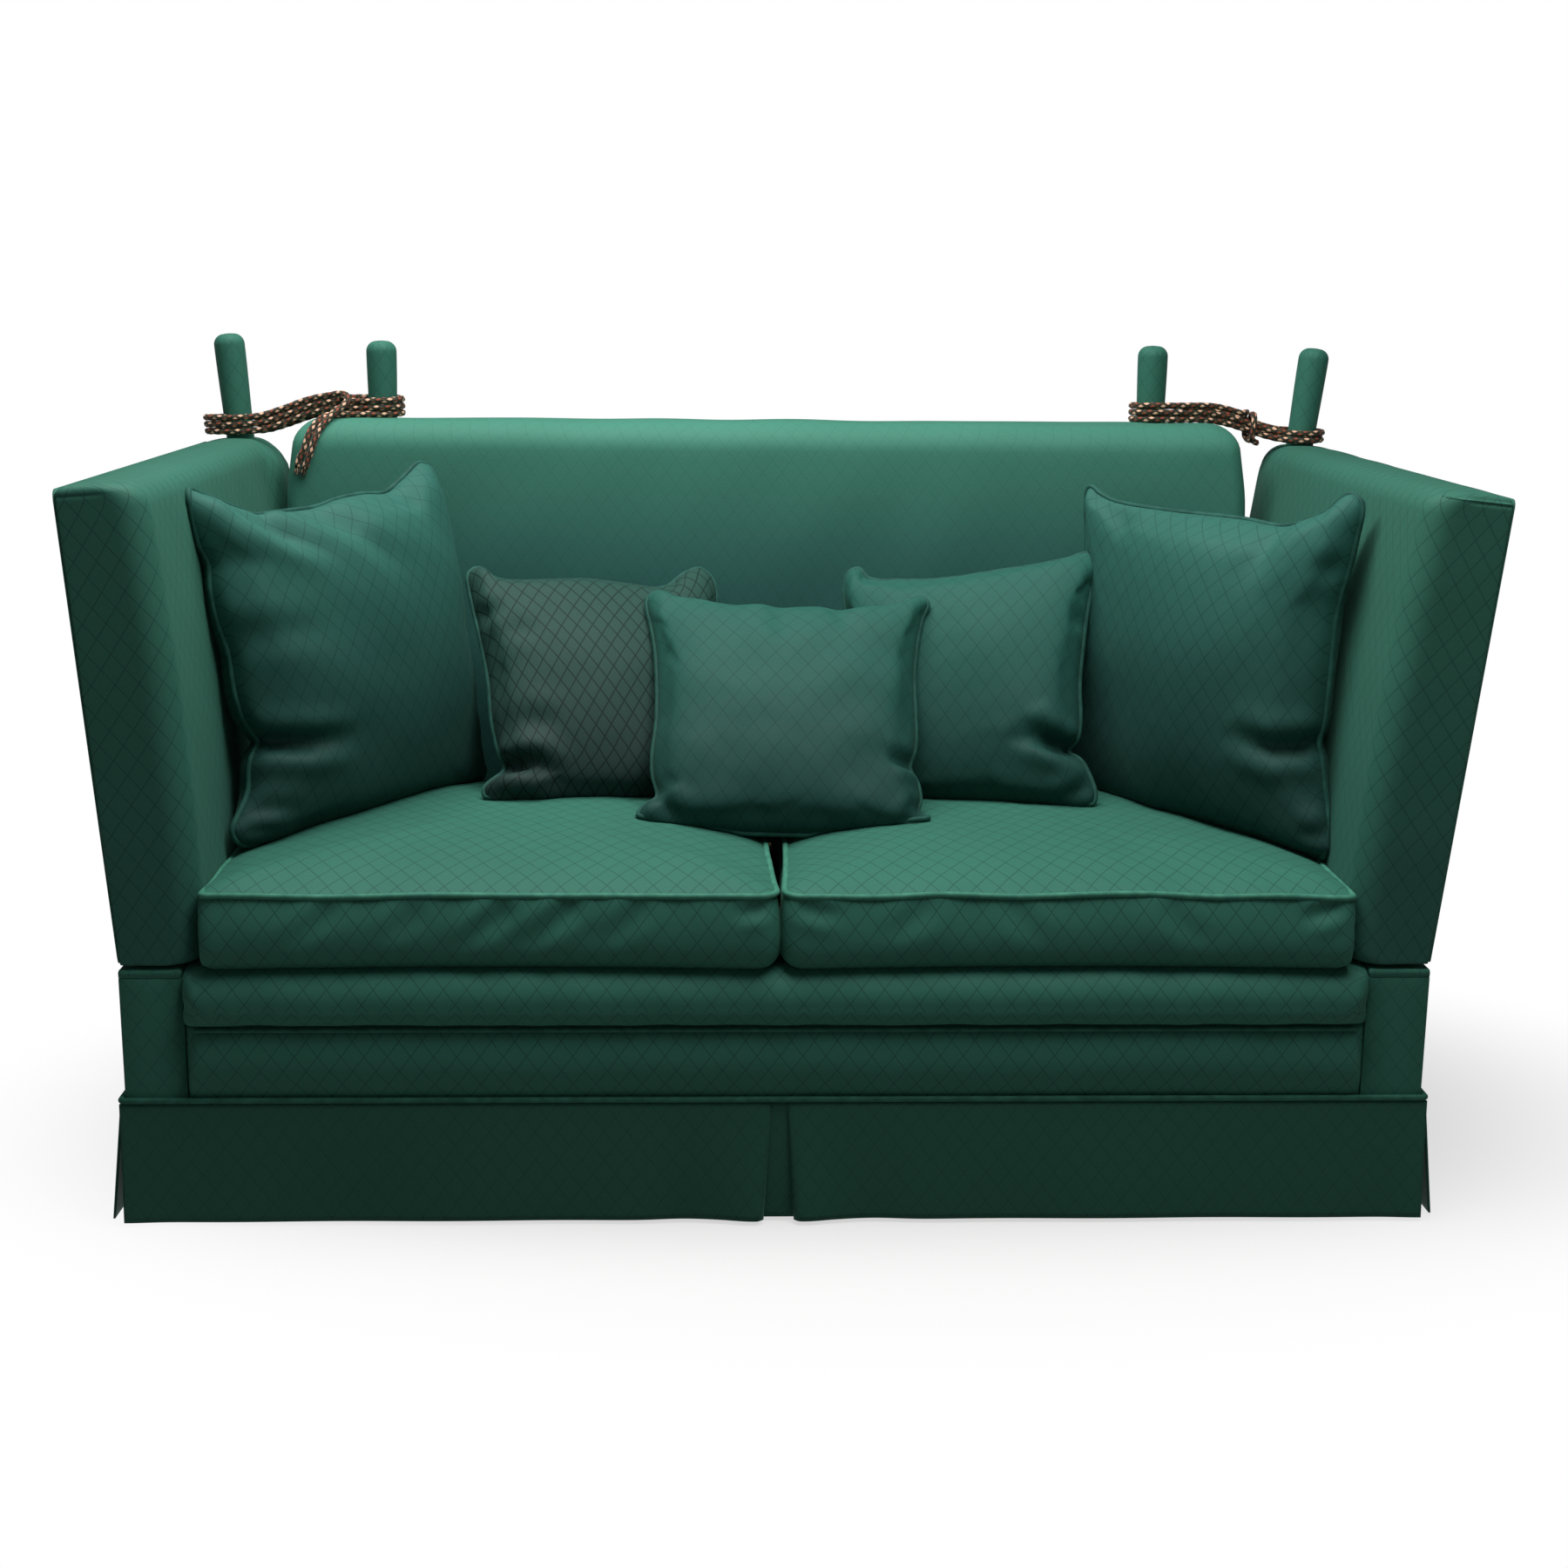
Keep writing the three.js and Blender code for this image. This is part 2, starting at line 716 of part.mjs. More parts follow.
// A closed ring of tube along a level loop of points.
function closedTube(points, radius, sides) {
  const count = points.length;
  const corners = [];
  const faces = [];
  points.forEach((p, i) => {
    const before = points.at(i - 1);
    const after = points[(i + 1) % count];
    const ahead = new THREE.Vector2(after[0] - before[0], after[1] - before[1]).normalize();
    for (let k = 0; k < sides; k++) {
      const angle = (2 * Math.PI * (k + 0.5)) / sides;
      const out = Math.cos(angle) * radius;
      corners.push([p[0] + ahead.y * out, p[1] - ahead.x * out, p[2] + Math.sin(angle) * radius]);
      const a = i * sides + k;
      const b = i * sides + ((k + 1) % sides);
      const c = ((i + 1) % count) * sides + k;
      const d = ((i + 1) % count) * sides + ((k + 1) % sides);
      faces.push([a, c, d], [a, d, b]);
    }
  });
  return geometryFrom(corners, faces);
}

// A post covered in cloth: a little thicker at its rounded head, standing on its foot.
function postGeometry(height) {
  const profile = [new THREE.Vector2(0, 0), new THREE.Vector2(post_foot_radius, 0)];
  const steps = 4;
  for (let i = 0; i <= steps; i++) {
    const angle = (Math.PI / 2) * (i / steps);
    profile.push(new THREE.Vector2(post_head_radius - post_round + post_round * Math.cos(angle),
      height - post_round + post_round * Math.sin(angle)));
  }
  profile.push(new THREE.Vector2(0, height));
  return new THREE.LatheGeometry(profile, post_segments).rotateX(Math.PI / 2);
}

// The back: a beech frame on the back rail, a padded front with a rolled top, and an outside panel.
function backPadSolid() {
  const profile = rounded([
    [back_foot_y, seat_bottom],
    [outside_back_y, seat_bottom],
    [outside_back_y, back_height, back_rear_radius],
    [back_top_y, back_height, back_roll_radius],
  ].reverse(), 6);
  const front = rounded([
    [-half_back, seat_bottom],
    [half_back, seat_bottom],
    [half_back, back_height, back_corner_radius],
    [-half_back, back_height, back_corner_radius],
  ], 6);
  const plan = rounded([
    [-half_back, back_foot_y - overrun, back_side_radius],
    [half_back, back_foot_y - overrun, back_side_radius],
    [half_back, base_depth],
    [-half_back, base_depth],
  ]);
  return common(prismX(profile, -half_back, half_back), prismY(front, back_foot_y - overrun, base_depth),
    prismZ(plan, seat_bottom - overrun, back_height + overrun));
}

function buildBack() {
  const rail_top = back_height - top_rail_cover;
  const rail_foot = rail_top - top_rail_height;
  const upright_y1 = upright_y + upright_depth;
  for (const [name, side] of [["left", -1], ["right", 1]]) {
    const x = side * back_post_x;
    add("back_upright_" + name, box(x - upright_width / 2, x + upright_width / 2, upright_y, upright_y1,
      seat_rail_top + fit_gap, rail_foot - fit_gap), colours.beech);
    const post = add("back_post_" + name, postGeometry(back_height + back_post_rise - rail_top - fit_gap),
      colours.velvet);
    post.position.set(x, back_post_y, rail_top + fit_gap);
  }
  add("back_top_rail", box(-top_rail_half_length, top_rail_half_length, upright_y, upright_y1, rail_foot,
    rail_top), colours.beech);
  const low_x = back_post_x - upright_width / 2 - fit_gap;
  const low_y = upright_y + (upright_depth - lower_rail_thickness) / 2;
  const low_z = seat_bottom + lower_rail_lift;
  add("back_lower_rail", box(-low_x, low_x, low_y, low_y + lower_rail_thickness, low_z,
    low_z + lower_rail_height), colours.beech);

  const pocket_x = top_rail_half_length + fit_gap;
  const pocket = box(-pocket_x, pocket_x, upright_y - fit_gap, base_depth, seat_bottom - overrun,
    rail_top + fit_gap);
  const holes = [-1, 1].map((side) => new THREE.CylinderGeometry(post_head_radius + fit_gap,
    post_head_radius + fit_gap, top_rail_cover + 2 * overrun, post_segments)
    .rotateX(Math.PI / 2)
    .translate(side * back_post_x, back_post_y, back_height - top_rail_cover / 2));
  add("back_pad", cut(backPadSolid(), pocket, ...holes), colours.velvet);

  const low = cover_inner_x - fit_gap;
  const high = half_back - arm_panel_reveal;
  const step_z = base_top - fit_gap;
  const outline = rounded([
    [-low, cover_bottom],
    [low, cover_bottom],
    [low, step_z],
    [high, step_z + fit_gap],
    [high, back_height - outside_back_drop, back_side_radius],
    [-high, back_height - outside_back_drop, back_side_radius],
    [-high, step_z + fit_gap],
    [-low, step_z],
  ]);
  add("outside_back", prismY(outline, outside_back_y + fit_gap, outside_back_y + outside_back_thickness),
    colours.velvet);
}

// The whole padded form of an arm in its own leaning frame, before its frame's pocket is cut.
function armPadSolid(side, lean) {
  const across = (inward) => -side * inward;
  const foot = (inward) => hinge_gap / Math.cos(lean) - inward * Math.tan(lean);
  const outer = arm_panel_thickness + fit_gap;
  const inner_foot = [arm_thickness, foot(arm_thickness)];
  const inner_top = [arm_thickness, arm_length];
  const inner_face = bulged(inner_foot, inner_top, arm_crown, 8);
  const front = rounded([
    [outer, foot(outer)],
    [inner_foot[0], inner_foot[1], arm_foot_radius],
    ...inner_face.slice(1, -1),
    [inner_top[0], inner_top[1], arm_top_inner_radius],
    [(outer + arm_thickness) / 2, arm_length + arm_top_crown],
    [outer, arm_length, arm_top_outer_radius],
  ]).map(([p, v]) => [across(p), v]);
  const widest = arm_thickness + arm_crown;
  const plan = rounded([
    [outer, 0],
    [widest, 0, arm_front_radius],
    [widest, base_depth, arm_rear_radius],
    [outer, base_depth],
  ], 6).map(([p, y]) => [across(p), y]);
  return common(prismY(front, 0, base_depth),
    prismZ(plan, foot(widest) - overrun, arm_length + arm_top_crown + overrun));
}

// Moves a geometry made in an arm's leaning frame to the sofa's frame.
function placeArm(side, lean, geometry) {
  return geometry.applyMatrix4(armMatrix(side, lean));
}

function armMatrix(side, lean) {
  const turn = new THREE.Matrix4().makeRotationY(side * lean);
  return new THREE.Matrix4().makeTranslation(side * half_base, 0, hinge_height).multiply(turn);
}

// Half of a strip hinge: a plate, its tabs and its knuckles, upwards or downwards from the pin.
function hingeLeaf(side, up, first) {
  const zone = hinge_length / hinge_knuckle_count;
  const away = (z) => (up ? z : -z);
  const slab = (p0, p1, y0, y1, z0, z1) =>
    box(-side * p0, -side * p1, y0, y1, Math.min(away(z0), away(z1)), Math.max(away(z0), away(z1)));
  const inner = hinge_leaf_offset + hinge_leaf_thickness;
  const plate_foot = hinge_tab_gap + hinge_leaf_thickness + hinge_tab_gap;
  const pieces = [slab(hinge_leaf_offset, inner, hinge_front, hinge_front + hinge_length, plate_foot,
    hinge_leaf_height)];
  for (let i = first; i < hinge_knuckle_count; i += 2) {
    const y0 = hinge_front + i * zone + hinge_tab_gap / 2;
    const y1 = hinge_front + (i + 1) * zone - hinge_tab_gap / 2;
    pieces.push(slab(0, inner, y0, y1, hinge_tab_gap, plate_foot));
    const barrel = new THREE.CylinderGeometry(hinge_barrel_radius, hinge_barrel_radius, y1 - y0,
      hinge_segments);
    pieces.push(barrel.translate(0, (y0 + y1) / 2, 0));
  }
  const bore = new THREE.CylinderGeometry(hinge_bore_radius, hinge_bore_radius, hinge_length + 2 * overrun,
    hinge_segments).translate(0, hinge_front + hinge_length / 2, 0);
  return cut(join(...pieces), bore);
}

// One arm: frame, pad, outside panel, post and its half of the hinge.
function buildArm(name, side, lean) {
  const arm = new THREE.Group();
  arm.position.set(side * half_base, 0, hinge_height);
  arm.rotation.y = side * lean;
  sofa.add(arm);
  const slab = (p0, p1, y0, y1, v0, v1) => box(-side * p0, -side * p1, y0, y1, v0, v1);
  const p0 = frame_outer;
  const p1 = frame_outer + arm_frame_thickness;
  const p2 = arm_thickness - arm_rear_stile_cover;
  const y0 = arm_frame_front;
  const y1 = base_depth - arm_frame_rear_cover;
  const stile_y = y1 - arm_rear_stile_width;
  const v0 = arm_frame_foot;
  const v1 = arm_length - arm_frame_top_cover;
  const rail_v = v0 + arm_rail_height;
  const top_v = v1 - arm_top_rail_height;
  add(name + "_arm_bottom_rail", slab(p0, p1, y0, y1, v0, rail_v), colours.beech, arm);
  add(name + "_arm_top_rail", slab(p0, p1, y0, stile_y - fit_gap, top_v, v1), colours.beech, arm);
  add(name + "_arm_front_stile", slab(p0, p1, y0, y0 + arm_stile_width, rail_v + fit_gap, top_v - fit_gap),
    colours.beech, arm);
  add(name + "_arm_rear_stile", slab(p0, p2, stile_y, y1, rail_v + fit_gap, v1), colours.beech, arm);

  const pocket = slab(-overrun, p1 + fit_gap, y0 - fit_gap, y1 + fit_gap, v0 - fit_gap, v1 + fit_gap);
  const stile_pocket = slab(-overrun, p2 + fit_gap, stile_y - fit_gap, y1 + fit_gap, rail_v, v1 + fit_gap);
  const leaf_slot = slab(-overrun, frame_outer + fit_gap, hinge_front - fit_gap,
    hinge_front + hinge_length + fit_gap, -hinge_leaf_height, v0 + fit_gap);
  const post_hole = new THREE.CylinderGeometry(post_head_radius + fit_gap, post_head_radius + fit_gap,
    arm_frame_top_cover + 4 * overrun, post_segments)
    .rotateX(Math.PI / 2)
    .translate(-side * arm_post_inset, arm_post_y, arm_length);
  add(name + "_arm_pad", cut(armPadSolid(side, lean), pocket, stile_pocket, leaf_slot, post_hole),
    colours.velvet, arm);

  const panel = rounded([
    [arm_panel_reveal, arm_panel_foot],
    [base_depth - arm_panel_reveal, arm_panel_foot],
    [base_depth - arm_panel_reveal, arm_length - arm_panel_reveal, arm_top_outer_radius],
    [arm_panel_reveal, arm_length - arm_panel_reveal, arm_top_outer_radius],
  ]);
  const face = -side * arm_panel_thickness;
  add(name + "_arm_outside", prismX(panel, Math.min(0, face), Math.max(0, face)), colours.velvet, arm);

  const post_height = arm_length + arm_post_rise - v1 - fit_gap;
  const post = add(name + "_arm_post", postGeometry(post_height), colours.velvet, arm);
  post.position.set(-side * arm_post_inset, arm_post_y, v1 + fit_gap);
  add(name + "_hinge_arm_leaf", hingeLeaf(side, true, 1), colours.steel, arm);
}

// The half of each strip hinge that is screwed to the base, and its pin.
function buildHinge(name, side) {
  const leaf = add(name + "_hinge_base_leaf", hingeLeaf(side, false, 0), colours.steel);
  leaf.position.set(side * half_base, 0, hinge_height);
  const pin = new THREE.CylinderGeometry(hinge_pin_radius, hinge_pin_radius, hinge_length, hinge_segments);
  const pin_mesh = add(name + "_hinge_pin", pin, colours.steel);
  pin_mesh.position.set(side * half_base, hinge_front + hinge_length / 2, hinge_height);
}

// A seat cushion: flat under, bulging sides between two seams, and a crowned top.
function seatCushion(x0, x1, y0, y1) {
  const middle = [(x0 + x1) / 2, (y0 + y1) / 2];
  const plan = [[x0, y0], [x1, y0], [x1, y1], [x0, y1]];
  const corners = rounded(plan.map(([x, y]) => [x, y, seat_corner_radius]), 3);
  // Evenly spaced points along the outline, with the sides drawn in between the corners.
  const loop = corners.concat([corners[0]]).map(([x, y]) => new THREE.Vector2(x, y));
  const path = new THREE.CurvePath();
  for (let i = 0; i + 1 < loop.length; i++) path.add(new THREE.LineCurve(loop[i], loop[i + 1]));
  const outline = path.getSpacedPoints(4 * seat_points_per_side).slice(0, -1).map((p) => {
    const u = (2 * (p.x - middle[0])) / (x1 - x0);
    const v = (2 * (p.y - middle[1])) / (y1 - y0);
    const pull_x = seat_pull * (1 - v * v) * Math.sign(u) * Math.abs(u) ** seat_pull_exponent;
    const pull_y = seat_pull * (1 - u * u) * Math.sign(v) * Math.abs(v) ** seat_pull_exponent;
    return [p.x - pull_x, p.y - pull_y];
  });
  const ring = (share, z, grow = 0) => outline.map(([x, y]) => {
    const dx = x - middle[0];
    const dy = y - middle[1];
    const size = Math.hypot(dx, dy);
    return [middle[0] + dx * share + (dx / size) * grow, middle[1] + dy * share + (dy / size) * grow, z];
  });
  const rings = seat_underside_shares.map((share) => ring(share, seat_bottom));
  for (const t of seat_side_shares) {
    rings.push(ring(1, seat_bottom + seat_seam_height * t, seat_side_bulge * Math.sin(Math.PI * t)));
  }
  for (const share of seat_top_shares) {
    const rise = (1 - share ** seat_shoulder_exponent) ** seat_crown_exponent;
    rings.push(ring(share, seat_seam + seat_crown * rise));
  }
  return loft(rings);
}

// A scatter cushion: fat in the middle, thin at its seam, its sides drawn in between the corners.
function scatterCushion(size, thickness, grow = 0) {
  const half = size / 2 + grow;
  const deep = thickness / 2 + grow;
  const n = cushion_steps;
  const share = (i) => Math.sin((Math.PI / 2) * ((2 * i) / n - 1));
  const corners = [];
  const faces = [];
  const at = {};
  const place = (i, j, front) => {
    const rim = i === 0 || j === 0 || i === n || j === n;
    const key = [i, j, rim ? "rim" : front].join();
    if (!(key in at)) {
      const u = share(i);
      const v = share(j);
      const x = u * (half - cushion_pull * (1 - v * v) * u * u);
      const z = v * (half - cushion_pull * (1 - u * u) * v * v);
      const fat = deep * ((1 - u * u) * (1 - v * v)) ** cushion_fullness;
      at[key] = corners.length;
      corners.push([x, rim ? 0 : (front ? -1 : 1) * fat, z + size / 2]);
    }
    return at[key];
  };
  for (const front of [true, false]) {
    for (let i = 0; i < n; i++) {
      for (let j = 0; j < n; j++) {
        const a = place(i, j, front);
        const b = place(i + 1, j, front);
        const c = place(i + 1, j + 1, front);
        const d = place(i, j + 1, front);
        faces.push(...(front ? [[a, b, c], [a, c, d]] : [[a, c, b], [a, d, c]]));
      }
    }
  }
  return geometryFrom(corners, faces);
}

// Where a cushion stands: its foot across, forwards from the back and up from the seat's seam.
function cushionMatrix([across, forward, up], turn, lean, roll = 0) {
  const angles = new THREE.Euler(-lean * radians, roll * radians, turn * radians, "ZXY");
  const turned = new THREE.Matrix4().makeRotationFromEuler(angles);
  const placed = new THREE.Matrix4().makeTranslation(across, back_foot_y - forward, seat_seam + up);
  return placed.multiply(turned);
}

// The foot of a big cushion, measured inwards from the side of the back.
function besideArm(side, [inward, forward, up]) {
  return [side * (half_back - inward), forward, up];
}

// Seat and scatter cushions, each pressed flat where it rests on what lies behind or under it.
function buildCushions(arms) {
  const y0 = -seat_front_overhang;
  const y1 = back_foot_y - soft_gap - seat_side_bulge;
  const seats = {};
  for (const [name, side] of [["left", -1], ["right", 1]]) {
    const near = side * seat_middle_gap;
    const far = side * seat_outer_reach;
    const whole = seatCushion(Math.min(near, far), Math.max(near, far), y0, y1);
    const beside = arms[side].clone().translate(-side * soft_gap, 0, 0);
    seats[side] = cut(whole, beside);
    add("seat_cushion_" + name, seats[side], colours.velvet);
  }
  const behind = backPadSolid().translate(0, -soft_gap, 0);
  const under = [seats[-1], seats[1]].map((seat) => seat.clone().translate(0, 0, soft_gap));
  const walls = [-1, 1].map((side) => arms[side].clone().translate(-side * soft_gap, 0, 0));
  const rows = [
    ["scatter_cushion_large_left", big_left_cushion_size, big_cushion_thickness,
      cushionMatrix(besideArm(-1, big_left_foot), big_left_turn_degrees, big_left_lean_degrees)],
    ["scatter_cushion_large_right", big_right_cushion_size, big_cushion_thickness,
      cushionMatrix(besideArm(1, big_right_foot), big_right_turn_degrees, big_right_lean_degrees)],
    ["scatter_cushion_small_left", small_cushion_size, small_cushion_thickness,
      cushionMatrix(small_left_foot, small_left_turn_degrees, small_left_lean_degrees,
        small_left_roll_degrees)],
    ["scatter_cushion_small_right", small_cushion_size, small_cushion_thickness,
      cushionMatrix(small_right_foot, small_right_turn_degrees, small_right_lean_degrees,
        small_right_roll_degrees)],
    ["scatter_cushion_centre", centre_cushion_size, small_cushion_thickness,
      cushionMatrix(centre_cushion_foot, centre_cushion_turn_degrees, centre_cushion_lean_degrees,
        centre_cushion_roll_degrees)],
  ];
  // Each cushion leans on the ones before it.
  rows.forEach(([name, size, thickness, matrix], row) => {
    const neighbours = rows.slice(0, row).map(([, side, deep, place]) =>
      scatterCushion(side, deep, soft_gap).applyMatrix4(place));
    const world = cut(scatterCushion(size, thickness).applyMatrix4(matrix), behind, ...under, ...walls,
      ...neighbours);
    const colour = name === "scatter_cushion_small_left" ? colours.patterned : colours.velvet;
    const cushion = add(name, world.applyMatrix4(matrix.clone().invert()), colour);
    matrix.decompose(cushion.position, cushion.quaternion, cushion.scale);
  });
}

// The winding of a rope. It leaves the front of the back post round its far side, runs behind to the
// arm post and returns along the front, climbing one row a turn, or the other way round where face
// is -1. Shares run from the back post, 0, to the arm post, 1.
function ropeWinding(side, lean, slack, waist, waist_share, rest_gap = rope_rest_gap, face = 1) {
  const ring = post_head_radius + rope_radius + rope_post_clearance;
  const arm_foot = new THREE.Vector3(-side * arm_post_inset, arm_post_y, arm_length + arm_top_crown)
    .applyMatrix4(armMatrix(side, lean));
  const arm_z = arm_foot.z + ring * Math.sin(lean) + rope_radius + rest_gap;
  const back_z = back_height + rope_radius + rest_gap;
  const back_x = side * back_post_x;
  const armX = (z) => arm_foot.x + side * Math.tan(lean) * (z - arm_foot.z);
  const level = (share, climb) => back_z
    + (arm_z - back_z) * THREE.MathUtils.smoothstep(share, rope_drop_start_share, rope_drop_end_share)
    + (climb - rope_arm_row_share * share) * rope_pitch;
  const at = (share, climb, across) => {
    const z = level(share, climb);
    const y = back_post_y + (arm_post_y - back_post_y) * share + across * face;
    return [back_x + (armX(z) - back_x) * share, y, z];
  };
  const width = (share) => {
    const stage = share < waist_share ? share / waist_share : (1 - share) / (1 - waist_share);
    return ring - (ring - waist) * Math.sin((Math.PI / 2) * stage) ** 2;
  };
  const span = (from, to, front, climb, rise, steps = rope_steps) => {
    const places = [];
    for (let i = 1; i <= steps; i++) {
      const share = from + ((to - from) * i) / steps;
      places.push(at(share, climb + (rise * i) / steps, (front ? -1 : 1) * width(share)));
    }
    return places;
  };
  const turn = (at_arm, climb, rise) => {
    const places = [];
    const share = at_arm ? 1 : 0;
    const reach = (at_arm ? ring + slack : -ring) * side;
    for (let i = 1; i <= rope_steps; i++) {
      const t = i / rope_steps;
      const angle = Math.PI * t;
      const [x, y, z] = at(share, climb + rise * t, (at_arm ? 1 : -1) * ring * Math.cos(angle));
      places.push([x + reach * Math.sin(angle), y, z]);
    }
    return places;
  };
  const wind = (turns) => {
    const places = [];
    const quarter = 1 / 4;
    for (let k = 0; k < turns; k++) {
      places.push(...turn(false, k, quarter), ...span(0, 1, false, k + quarter, quarter));
      places.push(...turn(true, k + 2 * quarter, quarter));
      if (k + 1 < turns) places.push(...span(1, 0, true, k + 3 * quarter, quarter));
    }
    return places;
  };
  return { at, width, span, turn, wind };
}

// Points along a smooth curve through places given from the back post's axis at the top of the back.
function ropeEnd(side, route, joined, first) {
  const places = route.map(([out, forward, up]) =>
    new THREE.Vector3(side * (back_post_x + out), back_post_y - forward, back_height + up));
  const join_point = new THREE.Vector3(...joined);
  const curve = new THREE.CatmullRomCurve3(first ? [...places, join_point] : [join_point, ...places]);
  const points = curve.getSpacedPoints(rope_curve_steps).map((p) => p.toArray());
  return first ? points : points.slice(1);
}

// The left rope: both of its ends hang side by side in front of the back's corner.
function leftRopeRoute() {
  const rope = ropeWinding(-1, left_lean, left_rope_slack, left_rope_waist, left_rope_waist_share);
  const leave = left_rope_leave_share;
  const steps = Math.round((1 - leave) * rope_steps);
  const last = rope.span(1, leave, true, left_rope_turns - 1 / 4, (1 - leave) / 4, steps);
  return [
    ...ropeEnd(-1, rope_first_end_route, rope.at(0, 0, -rope.width(0)), true),
    ...rope.wind(left_rope_turns),
    ...last,
    ...ropeEnd(-1, rope_last_end_route, last.at(-1), false),
  ];
}

// The right rope: it starts behind and its end is hitched round the other strands, near the arm post.
function rightRopeRoute() {
  const rope = ropeWinding(1, right_lean, right_rope_slack, right_rope_waist, right_rope_waist_share,
    rope_rest_gap - right_rope_settle, -1);
  const start_steps = 3;
  const first = Array.from({ length: start_steps + 1 }, (_, i) => {
    const stage = 1 - i / start_steps;
    const share = right_rope_start_share * stage;
    return rope.at(share, rope_arm_row_share * share, -rope.width(share) - right_rope_start_flare * stage);
  });
  const turns = right_rope_turns;
  const front = rope.span(1, 0, true, turns - 1 / 4, 1 / 4);
  const last_turn = rope.turn(false, turns, 1 / 4);
  const rear = rope.span(0, hitch_start_share, false, turns + 1 / 4, hitch_start_share / 2);
  const hitch = [];
  const middle_climb = turns / 2;
  const share_step = rope_pitch / (rope.at(1, 0, 0)[0] - rope.at(0, 0, 0)[0]);
  const bend = (value) => Math.sign(value) * Math.abs(value) ** hitch_squareness;
  const hitch_steps = 4 * rope_steps;
  for (let i = 2; i <= hitch_turns * hitch_steps; i++) {
    const angle = (2 * Math.PI * i) / hitch_steps + Math.PI / 3;
    const share = hitch_start_share + share_step * (1 + i / hitch_steps);
    const [x, y, z] = rope.at(share, middle_climb, hitch_radius * bend(Math.cos(angle)));
    hitch.push([x, y, z + hitch_radius * bend(Math.sin(angle))]);
  }
  const tip = new THREE.Vector3(...hitch.at(-1));
  const ahead = tip.clone().sub(new THREE.Vector3(...hitch.at(-2))).setLength(rope_diameter);
  const end = tip.add(ahead).toArray();
  return [...first, ...rope.wind(turns), ...front, ...last_turn, ...rear, ...hitch, end];
}

function buildRope(name, route) {
  let length = 0;
  for (let i = 1; i < route.length; i++) {
    length += new THREE.Vector3(...route[i]).distanceTo(new THREE.Vector3(...route[i - 1]));
  }
  const gap = leastGap(route, rope_diameter);
  console.log(name + ": " + length.toFixed(0) + " mm long, least gap to itself " + gap.toFixed(2) + " mm");
  add(name, tube(route, rope_radius, rope_sides), colours.rope);
}

const left_lean = left_arm_lean_degrees * radians;
const right_lean = right_arm_lean_degrees * radians;
const arms = {
  [-1]: placeArm(-1, left_lean, armPadSolid(-1, left_lean)),
  [1]: placeArm(1, right_lean, armPadSolid(1, right_lean)),
};

buildBaseFrame();
buildSeat();
buildBaseCovers();
buildSkirt();
buildBack();
buildHinge("left", -1);
buildHinge("right", 1);
buildArm("left", -1, left_lean);
buildArm("right", 1, right_lean);
buildCushions(arms);
buildRope("left_rope", leftRopeRoute());
buildRope("right_rope", rightRopeRoute());

// The origin lies under the middle of the whole sofa, whose arms lean out by different amounts.
const left_reach = half_base + arm_length * Math.sin(left_lean);
const right_reach = half_base + arm_length * Math.sin(right_lean);
const rear_reach = base_depth + skirt_standoff + skirt_thickness + skirt_flare;
sofa.position.set((left_reach - right_reach) / 2, (lip_overhang - rear_reach) / 2, 0);

const model = new THREE.Group();
model.add(sofa);
export default model;
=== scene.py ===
import json
import math
from functools import partial

import bmesh
import bpy
import numpy as np
from mathutils import Matrix, Vector
from mathutils.bvhtree import BVHTree


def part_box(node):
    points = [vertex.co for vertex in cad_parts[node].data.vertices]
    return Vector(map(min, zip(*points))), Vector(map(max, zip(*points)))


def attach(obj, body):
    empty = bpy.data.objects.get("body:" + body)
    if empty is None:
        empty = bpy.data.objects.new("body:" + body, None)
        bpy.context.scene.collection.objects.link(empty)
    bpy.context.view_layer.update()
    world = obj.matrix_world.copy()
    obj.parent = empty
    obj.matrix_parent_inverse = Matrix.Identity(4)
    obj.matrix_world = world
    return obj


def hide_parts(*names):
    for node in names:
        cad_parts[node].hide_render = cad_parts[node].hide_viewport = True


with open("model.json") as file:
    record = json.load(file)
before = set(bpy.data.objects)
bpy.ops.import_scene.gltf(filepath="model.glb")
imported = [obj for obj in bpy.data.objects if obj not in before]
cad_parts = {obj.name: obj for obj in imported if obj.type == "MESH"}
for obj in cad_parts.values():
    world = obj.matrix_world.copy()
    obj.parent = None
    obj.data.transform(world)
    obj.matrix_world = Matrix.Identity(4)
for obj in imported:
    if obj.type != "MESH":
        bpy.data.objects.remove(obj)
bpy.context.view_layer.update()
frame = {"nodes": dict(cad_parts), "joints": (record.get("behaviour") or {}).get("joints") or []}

# Where the sofa's own frame lies: x from its middle, y from its front, z from the floor, in metres
MM = 0.001
COVER_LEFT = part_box("base_cover_left")
COVER_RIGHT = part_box("base_cover_right")
MIDDLE_X = (COVER_LEFT[0].x + COVER_RIGHT[1].x) / 2
FRONT_Y = COVER_LEFT[0].y
ORIGIN = np.array([MIDDLE_X, FRONT_Y, 0])
SIDES = ((-1, "left"), (1, "right"))

